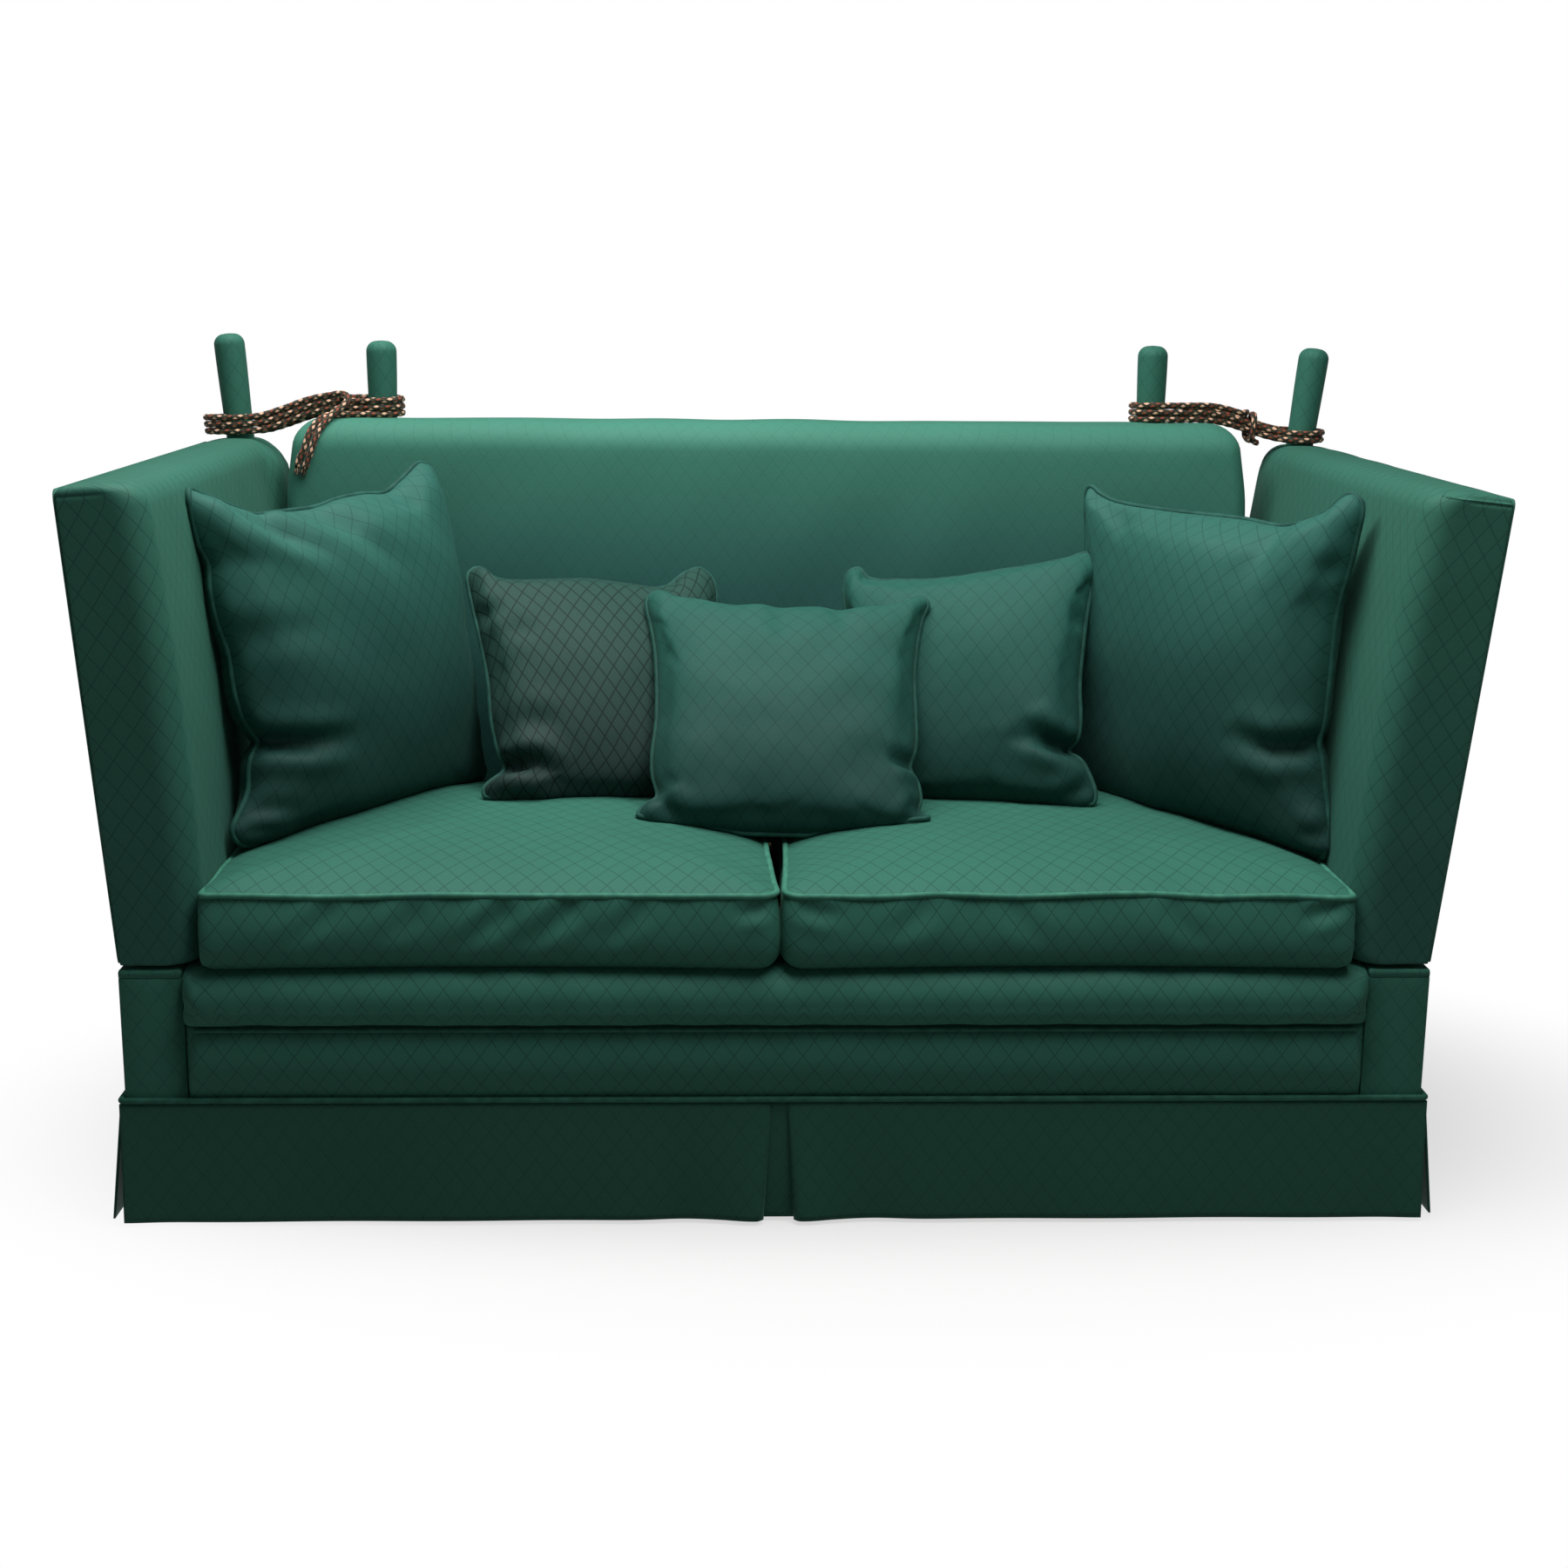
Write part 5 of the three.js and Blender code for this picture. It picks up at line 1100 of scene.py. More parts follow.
def make_base_cover(side, name):
    """End panel of the base: cloth over the side, front and rear of the frame, and a padded strip on top."""
    walls = np.linspace(COVER_FOOT + COVER_HEM, COVER_SEAM - COVER_EDGE, 14)
    heights = [(z, 0) for z in (COVER_FOOT, *walls)]
    heights += [(COVER_SEAM - COVER_EDGE * (1 - math.sin(t)), COVER_EDGE * (1 - math.cos(t)) * 0.6)
                for t in np.radians((30, 60, 90))]
    middle = run_length(cover_wall(0))
    rings = [raised(cover_wall(out) * (side, 1), z) for z, out in heights]
    skin = Skin()
    skin.band(rings, [raised(middle, z) for z, _ in heights])
    # The channel's wall is closed below and above by strips between its outer and inner runs.
    half = len(rings[0]) // 2
    for ring in (rings[0], rings[-1]):
        outside, inside = ring[:half], ring[half:][::-1]
        skin.band([outside, inside], [outside[:, :2], inside[:, :2]], closed=False)
    dress(skin.build(name + "_base_end_cover"), "velvet", "base_cover_" + name)

    radii = [STRIP_CORNER, COVER_CORNER, COVER_CORNER, STRIP_CORNER]
    ring, _ = outline(COVER_INNER, HALF_BASE, 0, BASE_DEPTH, radii, (8, 70, 8, 70), 6)
    strip = make_plate(name + "_base_top_strip", ring,
                       lambda a, b, d: np.column_stack([side * a, b, COVER_SEAM + STRIP_GAP + d]),
                       COVER_PADDING - STRIP_GAP, STRIP_EDGE)
    dress(strip, "velvet", "base_cover_" + name)


def make_front_border():
    """Padded border below the lip: it bulges, and its ends slope out towards the bottom."""
    top, half = LIP_BOTTOM - SEAM_GAP, COVER_INNER - SEAM_GAP
    bulge, backing, slope, end_round, flat_foot = 16 * MM, 19.7 * MM, 13 * MM, 9 * MM, 10 * MM
    low_edge = SKIRT_TOP + flat_foot
    across = half * np.linspace(-1, 1, 151)
    rise = COVER_FOOT + (top - COVER_FOOT) * np.linspace(0, 1, 17)[1:-1]
    right = np.column_stack([np.full(len(rise), half), rise])
    low_row, high_row = raised(across, COVER_FOOT), raised(across[::-1], top)
    ring = np.concatenate([low_row, right, high_row, right[::-1] * (-1, 1)])

    def swell(a, b, depth):
        share = np.clip((b - low_edge) / (top - low_edge), 0, 1)
        end = half - slope * np.clip((b - COVER_FOOT) / (top - COVER_FOOT), 0, 1) ** 1.6
        full = inset(end - np.abs(a), end_round) / end_round
        padded = bulge * np.sin(math.pi * share) ** 0.8 * np.clip(depth / 0.2, 0, 1) ** 0.5
        return padded * (1 - full)

    border = make_plate("front_border_padding", ring, lambda a, b, d: np.column_stack([a, backing - d, b]),
                        backing, end_round, swell)
    soften(border, "border")
    dress(border, "seat", "front_border", fill=0.9)
    radius, forward, below, short = 3.6 * MM, 5.5 * MM, 5 * MM, 3 * MM
    line = [[(half - slope - short) * a, -forward, top - below] for a in np.linspace(-1, 1, 120)]
    dress(tube("front_border_piping", line, radius), "piping")


# How much wider the lip is at the top than its solid, how much narrower it is at the bottom, how far down and
# in from its ends that slope reaches, and where behind its padded front it is wider still
LIP_SPREAD = min(9 * MM, COVER_INNER - HALF_LIP - 1 * MM)
LIP_FOOT_IN = 8 * MM
LIP_SLOPE_DROP = 30 * MM
LIP_SLOPE_REACH = 60 * MM
LIP_BEHIND = (-14 * MM, -2 * MM)
LIP_GAP = 0.5 * MM


def make_lip():
    """The stuffed roll along the front edge of the seat, over the border."""
    half, end = HALF_LIP, 16 * MM
    nose, under, rear = 46 * MM, 26 * MM, 2 * MM
    ends = end * (1 - np.cos(np.radians(np.linspace(0, 90, 10))))
    between = np.linspace(-half + end, half - end, 150)[1:-1]
    stations = np.concatenate([-half + ends, between, half - ends[::-1]])
    rings = []
    for x in stations:
        draw = inset(half - abs(x), end)
        ring, _ = outline(-LIP_OVERHANG + draw, LIP_DEPTH - LIP_OVERHANG, LIP_BOTTOM + draw * 0.7,
                          LIP_TOP - draw * 0.8, [under - draw * 0.3, rear, rear, nose - draw * 0.6],
                          (26, 12, 26, 10), 10)
        # The roll's ends slope in towards the bottom.
        low = smooth_step(ring[:, 1], LIP_TOP - LIP_SLOPE_DROP, LIP_BOTTOM)
        near_end = smooth_step(abs(x), half - LIP_SLOPE_REACH, half)
        shift = np.sign(x) * (LIP_SPREAD - (LIP_FOOT_IN + LIP_SPREAD) * low) * near_end
        # Behind its padded front the roll reaches the end covers.
        reach = np.maximum(COVER_INNER - LIP_GAP - abs(x + shift), 0)
        shift = shift + np.sign(x) * reach * near_end**3 * smooth_step(ring[:, 0], *LIP_BEHIND)
        rings.append(np.column_stack([x + shift, ring]))
    run = run_length(rings[len(rings) // 2][:, 1:])
    skin = Skin()
    skin.band(rings, [np.column_stack([np.full(len(run), x), run]) for x in stations])
    shares = (1, 0.66, 0.33, 0)
    for ring in (rings[0], rings[-1]):
        flats = inward(ring[:, 1:], shares)
        middle = ring[:, 0].mean()
        skin.band([np.column_stack([ring[:, 0] * share + middle * (1 - share), flat])
                   for share, flat in zip(shares, flats)], [close_ring(flat) for flat in flats])
    lip = skin.build("lip_roll_padding")
    soften(lip, "lip")
    dress(lip, "seat", "lip_roll", fill=0.85)


def make_deck():
    """The stuffed platform under the seat cushions."""
    radius, edge = 6 * MM, 10 * MM
    low, high = (corner - Vector(ORIGIN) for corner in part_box("seat_deck"))
    ring, _ = outline(low.x, high.x, low.y, high.y, [radius] * 4, (80, 40, 80, 40), 4)
    deck = make_plate("stuffed_deck", ring, lambda a, b, d: np.column_stack([a, b, low.z + d]),
                      high.z - low.z, edge)
    dress(deck, "hessian", "seat_deck", slot="hessian", fill=0.8)


# Skirt
SKIRT_THICKNESS = 3 * MM
SKIRT_STAND = 6.7 * MM
SKIRT_DROP = SKIRT_TOP - HEM
PLEAT_OPENING = 11 * MM
PLEAT_RETURN = 7 * MM
PLEAT_STAND = 6.3 * MM
PLEAT_BEHIND = 3 * MM
# How far the hem stands out past the skirt's top, and how high the folds of the panels are there
HEM_OUT = 6 * MM
FRONT_FOLD = 9 * MM
END_FLARE = 14 * MM
END_WAVE = 7 * MM
BACK_WAVE = 2.1 * MM
# The welt round the skirt's top: its radius, how far out and up its middle runs, and its corners' radius
SKIRT_WELT = 4.5 * MM
SKIRT_WELT_OFF = 4.8 * MM
SKIRT_WELT_CORNER = 5 * MM


def make_hanging(name, node_name, width, outward, place, columns, shift=None):
    """A hanging panel of lined cloth: outward gives how far it stands off along its width and its drop."""
    even = np.linspace(0, 1, columns + 1)
    t = 0.5 * even + 0.5 * (1 - np.cos(math.pi * even)) / 2
    drop = np.linspace(0, 1, 23)
    grid_t, grid_drop = np.meshgrid(t, drop, indexing="ij")
    out = outward(grid_t, grid_drop)
    across = grid_t * width
    if shift:
        across = across + shift(grid_t, grid_drop)
    z = SKIRT_TOP - SKIRT_DROP * grid_drop
    # The inner face lies a thickness behind the outer one, along the cloth's own normal in plan.
    slope = np.gradient(out, t * width, axis=0)
    size = np.sqrt(1 + slope**2)
    outer = np.stack([across, -out, z], axis=2)
    inner = np.stack([across + SKIRT_THICKNESS * slope / size, -out + SKIRT_THICKNESS / size, z], axis=2)
    first, last = (np.concatenate([edge, edge[:, ::-1]], axis=1) for edge in (outer[:1], outer[-1:]))
    rings = np.concatenate([first, np.concatenate([outer, inner[:, ::-1]], axis=1), last])
    drops = SKIRT_DROP * drop
    run = np.concatenate([drops, drops[::-1], drops[:1]])
    skin = Skin()
    skin.band([place(r) for r in rings], cloth_grid(np.concatenate([[0], t * width, [width]]), -run))
    panel = dress(skin.build(name), "skirt", node_name)


def bell(t, place, width):
    """A bump of height 1 at a place."""
    return np.exp(-(((t - place) / width) ** 2))


def front_drape(t, drop):
    """Flat at the top; a soft fold beside the pleat, whose edge turns in, and the corner lifts a little."""
    fold = bell(t, 0.985, 0.05) - 0.6 * bell(t, 0.86, 0.05) + 0.5 * bell(t, 0, 0.05)
    fold = fold + 0.25 * np.sin(3 * math.pi * t) ** 2
    turned_in = PLEAT_RETURN * (1 - np.sqrt(1 - smooth_step(t, 0.985, 1) ** 2))
    return SKIRT_STAND + drop * HEM_OUT + drop**1.3 * FRONT_FOLD * fold - turned_in * (0.2 + 0.8 * drop)


def end_drape(t, drop):
    """A flare at the front corner and two slight waves."""
    flare = bell(t, 0, 0.16)
    wave = 0.3 * np.sin(2 * math.pi * t) ** 2
    return SKIRT_STAND + drop * (HEM_OUT + END_FLARE * flare + END_WAVE * wave)


def back_drape(t, drop):
    """Four slight waves."""
    return SKIRT_STAND + drop * (HEM_OUT + BACK_WAVE * np.sin(4 * math.pi * t) ** 2)


def make_skirt():
    """Two front panels that meet at an inverted pleat, its backing, two end panels and one behind."""
    front, end = HALF_BASE - PLEAT_OPENING + SKIRT_STAND, BASE_DEPTH + SKIRT_STAND
    edge = lambda t, drop: -smooth_step(t, 0.9, 1) * drop * PLEAT_OPENING
    for side, name in SIDES:
        place = lambda r: np.column_stack([-side * (r[:, 0] - HALF_BASE - SKIRT_STAND), r[:, 1], r[:, 2]])
        make_hanging("skirt_front_panel_" + name, "skirt_front_" + name, front, front_drape, place, 110, edge)
        place = lambda r: np.column_stack([side * (HALF_BASE - r[:, 1]), r[:, 0], r[:, 2]])
        make_hanging("skirt_end_panel_" + name, "skirt_end_" + name, end, end_drape, place, 100)
    half = HALF_BASE - SEAM_GAP
    place = lambda r: np.column_stack([half - r[:, 0], BASE_DEPTH - r[:, 1], r[:, 2]])
    make_hanging("skirt_back_panel", "skirt_back", 2 * half, back_drape, place, 150)
    low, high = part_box("skirt_pleat")
    width = high.x - low.x
    make_hanging("skirt_pleat_backing", "skirt_pleat", width, lambda t, drop: np.full(t.shape, PLEAT_STAND),
                 lambda r: r + (-width / 2, PLEAT_BEHIND, 0), 16)


def make_skirt_piping():
    """The welt round the top of the skirt."""
    off = SKIRT_WELT_OFF
    ring, _ = outline(-HALF_BASE - off, HALF_BASE + off, -off, BASE_DEPTH + off, [SKIRT_WELT_CORNER] * 4,
                      (150, 76, 150, 76), 6)
    welt = tube("skirt_welt", raised(ring, SKIRT_TOP + off), SKIRT_WELT, 12, closed=True)
    dress(welt, "piping", "skirt_piping")


# Back
def back_front(z):
    """Where the raked face of the back stands."""
    share = (np.asarray(z) - SEAT_BOTTOM) / (BACK_HEIGHT - SEAT_BOTTOM)
    return BACK_FOOT_Y + BACK_RAKE * share


def make_back():
    """The back's padding: a raked, slightly uneven face, full beside the arms, with a rolled top."""
    heights = levels_between(SEAT_BOTTOM, BACK_HEIGHT, BACK_FOOT_ROUND, BACK_ROLL)
    counts, arc = (120, 16, 120, 16), 9
    rings = []
    for z in heights:
        below, above = BACK_HEIGHT - z, z - SEAT_BOTTOM
        high_up = smooth_step(z, *BACK_FULL_HEIGHTS) * smooth_step(z, BACK_HEIGHT, BACK_FULL_TOP)
        fullness = BACK_FULLNESS * high_up
        side_in = inset(below, BACK_CORNER) + inset(above, BACK_FOOT_SIDE) - fullness
        y0 = back_front(z) + inset(below, BACK_ROLL) + inset(above, BACK_FOOT_ROUND)
        y1 = BACK_REAR_Y - inset(below, BACK_REAR_ROLL)
        corner = min(BACK_SIDE + max(side_in, 0) * 0.7, (y1 - y0) * 0.45)
        rear = min(corner, BACK_REAR_SIDE + max(side_in, 0) * 0.5)
        ring, _ = outline(-HALF_BACK + side_in, HALF_BACK - side_in, y0, y1, [corner, corner, rear, rear],
                          counts, arc)
        rings.append(raised(ring, z))
    runs = distances(np.array([ring[counts[0] // 2, 1:] for ring in rings]))
    low = [raised(flat, SEAT_BOTTOM) for flat in inward(rings[0][:, :2], FOOT_SHARES)]
    flats = inward(rings[-1][:, :2], HEAD_SHARES)
    head = [raised(flat, BACK_HEIGHT + BACK_TOP_CROWN * (1 - share**2))
            for share, flat in zip(HEAD_SHARES, flats)]
    # The cloth of the top carries on from the front, which starts at this point of each ring.
    along = run_length(rings[len(rings) // 2])[arc] - rings[-1][arc, 0]
    up = runs[-1] - rings[-1][:, 1].min()
    head_uvs = [close_ring(flat + (along, up)) for flat in flats]
    back = make_box("back_padding", low, rings, runs, head, head_uvs)
    soften(back, "back")
    return dress(back, "back", "back_pad", fill=0.9)


def make_outside_back():
    """The cloth over the rear of the back and of the base, which is wider."""
    thickness, edge, fullness, reveal, spacing = 4.7 * MM, 3.5 * MM, 1.5 * MM, 2 * MM, 14 * MM
    low, high = COVER_INNER - SEAM_GAP, HALF_BACK - reveal
    _, far_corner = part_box("outside_back")
    step, top = BASE_TOP - SEAM_GAP, far_corner.z
    corner, bend = 26 * MM, 8 * MM
    right = [(low, COVER_FOOT), (low, step), (high, BASE_TOP), (high, top - corner),
             (high - bend, top - bend), (high - corner, top)]
    sides = [(-low, COVER_FOOT), *right, *[(-a, b) for a, b in right[:0:-1]]]
    ring = []
    for (a, b), (c, d) in zip(sides, sides[1:] + sides[:1]):
        count = max(1, int(math.hypot(c - a, d - b) / spacing))
        ring += [(a + (c - a) * i / count, b + (d - b) * i / count) for i in range(count)]
    rear = far_corner.y - FRONT_Y - thickness
    panel = make_plate("outside_back_panel", np.array(ring),
                       lambda a, b, d: np.column_stack([a, rear + d, b]), thickness, edge,
                       lambda a, b, depth: fullness * np.cos(a / high * 1.4), (COVER_FOOT + step) / 2)
    dress(panel, "velvet", "outside_back")


# Seat cushions
# Where the rings of a cushion lie, as shares of its underside, of its wall's height and of its top
SEAT_UNDER_SHARES = (0, 0.3, 0.6, 0.85, 0.985)
SEAT_WALL_SHARES = (0.02, 0.05, 0.09, *np.linspace(0.14, 0.86, 13), 0.91, 0.95, 0.98, 1)
SEAT_TOP_SHARES = (0.995, 0.985, 0.97, 0.95, 0.925, 0.895, 0.86, 0.82, 0.77, 0.71, 0.64, 0.56, 0.47, 0.37,
                   0.26, 0.14, 0)


def make_seat_piping(side, name, flat, out, sag):
    """Piping round both seams of a seat cushion, clear of the arm, the back and the other cushion."""
    for seam, height, follows, out_by in (
            ("top", SEAT_BOTTOM + SEAT_SEAM, 1, SEAT_WELT_OUT),
            ("bottom", SEAT_BOTTOM + PIPING + SEAT_WELT_LIFT, 0, SEAT_WELT_OUT - SEAT_TUCK)):
        path = clear_of_arm(raised(flat + out * out_by, height + sag * follows), side, PIPING + SOFT_GAP)
        path[:, 1] = np.minimum(path[:, 1], BACK_FOOT_Y - PIPING)
        path[:, 0] = side * np.maximum(side * path[:, 0], PIPING + SEAT_WELT_GAP)
        # The seat piping wears a lighter copy of the piping's satin, as painted light
        dress(tube(f"{name}_seat_{seam}_piping", path, PIPING, closed=True), "seat_piping")


def make_seat_cushion(side, name):
    """A boxed seat cushion with piping round both seams and a crowned top, gathered in at its corners."""
    x0, x1 = sorted((side * SEAT_GAP, side * SEAT_REACH))
    y0, y1 = SEAT_FRONT, SEAT_REAR
    middle = np.array([(x0 + x1) / 2, (y0 + y1) / 2])
    flat, out = outline(x0, x1, y0, y1, [SEAT_CORNER] * 4, (88, 78, 88, 78), 9)
    u = 2 * (flat[:, 0] - middle[0]) / (x1 - x0)
    v = 2 * (flat[:, 1] - middle[1]) / (y1 - y0)
    flat[:, 0] -= SEAT_PULL * (1 - v * v) * np.sign(u) * np.abs(u) ** 6
    flat[:, 1] -= SEAT_PULL * (1 - u * u) * np.sign(v) * np.abs(v) ** 6
    run = run_length(flat)
    bulge = SEAT_BULGE + SEAT_FRONT_BULGE * smooth_step(-out[:, 1], 0.4, 1)
    sag = ripple(raised(flat, 0), SEAT_SAG_LENGTH, SEAT_SAG_SEED + side) * SEAT_SAG
    drawn_in = lambda share: middle + (flat - middle) * share
    under = [raised(drawn_in(share), SEAT_BOTTOM) for share in SEAT_UNDER_SHARES]
    wall, wall_uvs = [under[-1]], [raised(run, 0)]
    for t in SEAT_WALL_SHARES:
        grow = bulge[:, None] * math.sin(math.pi * t**0.7) ** 0.8 - SEAT_TUCK * (1 - t) ** 12
        wall.append(raised(flat + out * grow, SEAT_BOTTOM + SEAT_SEAM * t + sag * t))
        wall_uvs.append(raised(run, SEAT_SEAM * t))
    top, top_uvs = [wall[-1]], [close_ring(flat)]
    for share in SEAT_TOP_SHARES:
        rise = (1 - share**SEAT_SHOULDER) ** SEAT_FULLNESS
        top.append(raised(drawn_in(share), SEAT_BOTTOM + SEAT_SEAM + SEAT_CROWN * rise + sag * share))
        top_uvs.append(close_ring(drawn_in(share)))
    skin = Skin()
    skin.band(under, [close_ring(ring[:, :2]) for ring in under])
    skin.band(wall, wall_uvs)
    skin.band(top, top_uvs)
    cushion = skin.build(name + "_seat_cushion")
    soften(cushion, "seat", side, lambda p: smooth_step(p[:, 2] - SEAT_BOTTOM, *SEAT_UNEVEN_FROM))
    places = places_of(cushion)
    on_front = smooth_step(-normals_of(cushion)[:, 1], 0.3, 0.7)
    for line, width, depth in SEAT_FOLDS[side]:
        places[:, 1] += crease(places[:, [0, 2]], line, width * MM, depth * MM) * on_front
    set_places(cushion, clear_of_arm(places, side, SOFT_GAP))
    dress(cushion, "seat", "seat_cushion_" + name, fill=0.8)
    make_seat_piping(side, name, flat, out, sag)
    return cushion


# Scatter cushions
# Each has its size, its thickness, the place of its foot, its turn, lean and roll, how much slimmer its left
# side is, its four seams from end to end and its folds as (line, width, depth), in mm and degrees. The seams
# are the bottom, right, top and left ones: bottom and top start at the left, right and left at the bottom.
SCATTER = {
    "large_left": (
        556, 190, (-(HALF_BACK / MM - 172), 307, 5.7), 55, 8.5, 0, 0,
        [(-286, 10), (-225, 2), (-167, 3), (-96, 0), (-10, 0), (81, 2), (203, 3), (285, 6)],
        [(285, 6), (275, 60), (268, 150), (265, 260), (265, 370), (266, 450), (264, 515), (256, 550),
         (243, 563)],
        [(-298, 553), (-283, 555), (-255, 546), (-215, 532), (-178, 517), (-156, 507), (-136, 507),
         (-78, 508), (-24, 509), (25, 518), (83, 522), (133, 520), (169, 535), (212, 552), (243, 563)],
        [(-286, 10), (-289, 34), (-276, 50), (-250, 88), (-243, 125), (-227, 152), (-213, 161),
         (-230, 180), (-245, 214), (-251, 253), (-250, 303), (-258, 329), (-266, 371), (-267, 408),
         (-262, 436), (-276, 467), (-289, 508), (-298, 553)],
        [([(-211, 512), (-152, 467), (-66, 422)], 15, 10), ([(-100, 515), (-7, 454), (66, 378)], 17, 7),
         ([(-300, 322), (-220, 328), (-106, 316)], 18, 5),
         ([(-240, 168), (-170, 152), (-82, 145)], 14, 14), ([(-290, 66), (-230, 62), (-180, 50)], 13, 7),
         ([(-300, 38), (-245, 34), (-209, 21)], 10, 7)]),
    "large_right": (
        542, 190, (HALF_BACK / MM - 159, 352, 3.7), -50, 4, 0, 0.6,
        [(-264, 8), (-200, 3), (-100, 2), (32, 4), (150, 3), (220, 0), (288, -2)],
        [(288, -2), (281, 39), (263, 98), (248, 155), (238, 178), (245, 197), (248, 275), (248, 376),
         (262, 442), (269, 490), (272, 529), (264, 559)],
        [(-269, 537), (-232, 523), (-194, 513), (-81, 507), (59, 506), (129, 501), (169, 512), (209, 529),
         (238, 548), (264, 559)],
        [(-264, 8), (-258, 90), (-254, 200), (-254, 320), (-258, 420), (-266, 490), (-269, 537)],
        [([(262, 180), (194, 166), (118, 185)], 15, 11), ([(288, 437), (212, 442)], 14, 5),
         ([(150, 504), (140, 448), (120, 400)], 17, 6), ([(285, 48), (235, 40)], 12, 6),
         ([(-180, 500), (-140, 440)], 18, 4)]),
    "small_left": (
        432, 150, (-253, 277, 19.7), 14.9, 36, 2.7, 0,
        [(-212, 4), (-199, 0), (-157, -2), (-99, 2), (-41, 0), (35, -2), (120, 0), (214, 4)],
        [(214, 4), (206, 60), (200, 150), (200, 260), (205, 330), (215, 384), (214, 428)],
        [(-224, 431), (-203, 439), (-157, 422), (-90, 421), (-16, 422), (52, 415), (114, 410), (156, 432),
         (193, 441), (214, 428)],
        [(-212, 4), (-215, 25), (-199, 49), (-181, 72), (-189, 95), (-198, 156), (-199, 228), (-207, 301),
         (-216, 364), (-224, 431)],
        [([(-200, 66), (-138, 60), (-84, 30)], 13, 15), ([(-156, 133), (-82, 118)], 16, 4),
         ([(-212, 333), (-160, 338)], 13, 5), ([(-157, 290), (-107, 287)], 16, 3)]),
    "small_right": (
        432, 150, (305, 297, 15.7), -18.8, 26, -5.5, 0,
        [(-214, 6), (-150, 3), (-60, 4), (-3, 3), (52, 3), (128, 0), (186, -3), (216, -1)],
        [(216, -1), (216, 12), (209, 50), (195, 84), (174, 99), (191, 119), (196, 155), (194, 211),
         (198, 267), (204, 324), (212, 375), (220, 428)],
        [(-218, 424), (-207, 430), (-191, 428), (-164, 413), (-115, 409), (-64, 407), (-13, 410),
         (43, 417), (115, 425), (170, 434), (205, 437), (220, 428)],
        [(-214, 6), (-205, 60), (-198, 150), (-198, 260), (-204, 320), (-216, 365), (-218, 424)],
        [([(190, 92), (128, 107), (75, 106)], 13, 12), ([(155, 115), (107, 131), (94, 156)], 14, 7),
         ([(204, 35), (156, 5)], 11, 6), ([(199, 308), (173, 312)], 11, 5)]),
    "centre": (
        456, 150, (13, 442, 15.7), -1.3, 44, 0.8, 0,
        [(-234, 8), (-176, 0), (-114, -3), (-62, -5), (-11, -6), (41, -6), (93, -5), (134, -4), (175, -3),
         (201, 0), (234, 13)],
        [(234, 13), (230, 22), (212, 37), (217, 64), (213, 101), (202, 125), (212, 163), (213, 226),
         (211, 284), (212, 323), (217, 370), (224, 410), (234, 452)],
        [(-237, 458), (-220, 463), (-168, 450), (-101, 438), (-46, 433), (-1, 428), (48, 427), (92, 426),
         (136, 432), (172, 438), (198, 447), (220, 454), (234, 452)],
        [(-234, 8), (-223, 42), (-205, 64), (-214, 103), (-217, 141), (-213, 204), (-215, 268),
         (-221, 340), (-232, 400), (-237, 458)],
        [([(-16, 405), (-4, 311), (0, 270)], 17, 4), ([(82, 407), (93, 334)], 15, 4),
         ([(205, 122), (155, 110)], 11, 8), ([(-199, 50), (-160, 0)], 12, 7),
         ([(206, 30), (177, 0)], 11, 6)]),
}
SCATTER_PULL = 14 * MM
SCATTER_FULLNESS = 0.47
SCATTER_EAR = 26 * MM
# The length and height of the cloth's unevenness, which fades out towards the rim over these thicknesses
SCATTER_RIPPLES = ((110 * MM, 2.5 * MM), (42 * MM, 0.5 * MM))
SCATTER_FLAT_RIM = (2 * MM, 30 * MM)
# The centre cushion's upper right corner comes forward over the cushion behind it
SCATTER_BEND = {"centre": (0, -60 * MM, 15 * MM)}
# How a cushion is blown up: for how long, how hard, how much slack its cloth has, how stiff the cloth is, and
# how far a point may move
PLUMP_FRAMES = 16
PLUMP_PRESSURE = 4.0
PLUMP_SLACK = 0.03
PLUMP_TENSION = 15
PLUMP_BENDING = 0.6
PLUMP_LIMIT = 8 * MM
# How far away a neighbour is looked for
PRESS_REACH = 0.12


def cushion_matrix(foot, turn, lean, roll):
    """Where a cushion stands: its foot's place from the middle of the back's foot, and how it is turned."""
    across, forward, up = foot
    place = Matrix.Translation((across * MM, BACK_FOOT_Y - forward * MM, SEAT_BOTTOM + SEAT_SEAM + up * MM))
    turned = Matrix.Rotation(math.radians(turn), 4, "Z") @ Matrix.Rotation(math.radians(-lean), 4, "X")
    return place @ turned @ Matrix.Rotation(math.radians(roll), 4, "Y")


def press(points, trees, gap):
    """Moves points that stand in a neighbour out to its surface."""
    moved = points.copy()
    for _ in range(2):
        for tree in trees:
            for i, place in enumerate(moved):
                spot, normal, _, _ = tree.find_nearest(Vector(place), PRESS_REACH)
                if spot is None:
                    continue
                reach = (Vector(place) - spot).dot(normal)
                if reach < gap:
                    moved[i] = place + np.array(normal) * (gap - reach)
    return moved


def tree_of(obj):
    """An object's surface, in the sofa's own frame, as press looks it up."""
    work = bmesh.new()
    work.from_mesh(obj.data)
    for vert in work.verts:
        vert.co -= Vector(ORIGIN)
    work.normal_update()
    tree = BVHTree.FromBMesh(work)
    work.free()
    return tree


def along_seam(places, shares):
    """Places at shares of the length of a seam that is drawn through the given places."""
    drawn = spline(np.array([(x, 0, z) for x, z in places]) * MM, 6)[:, [0, 2]]
    return places_at(drawn, shares * distances(drawn)[-1])


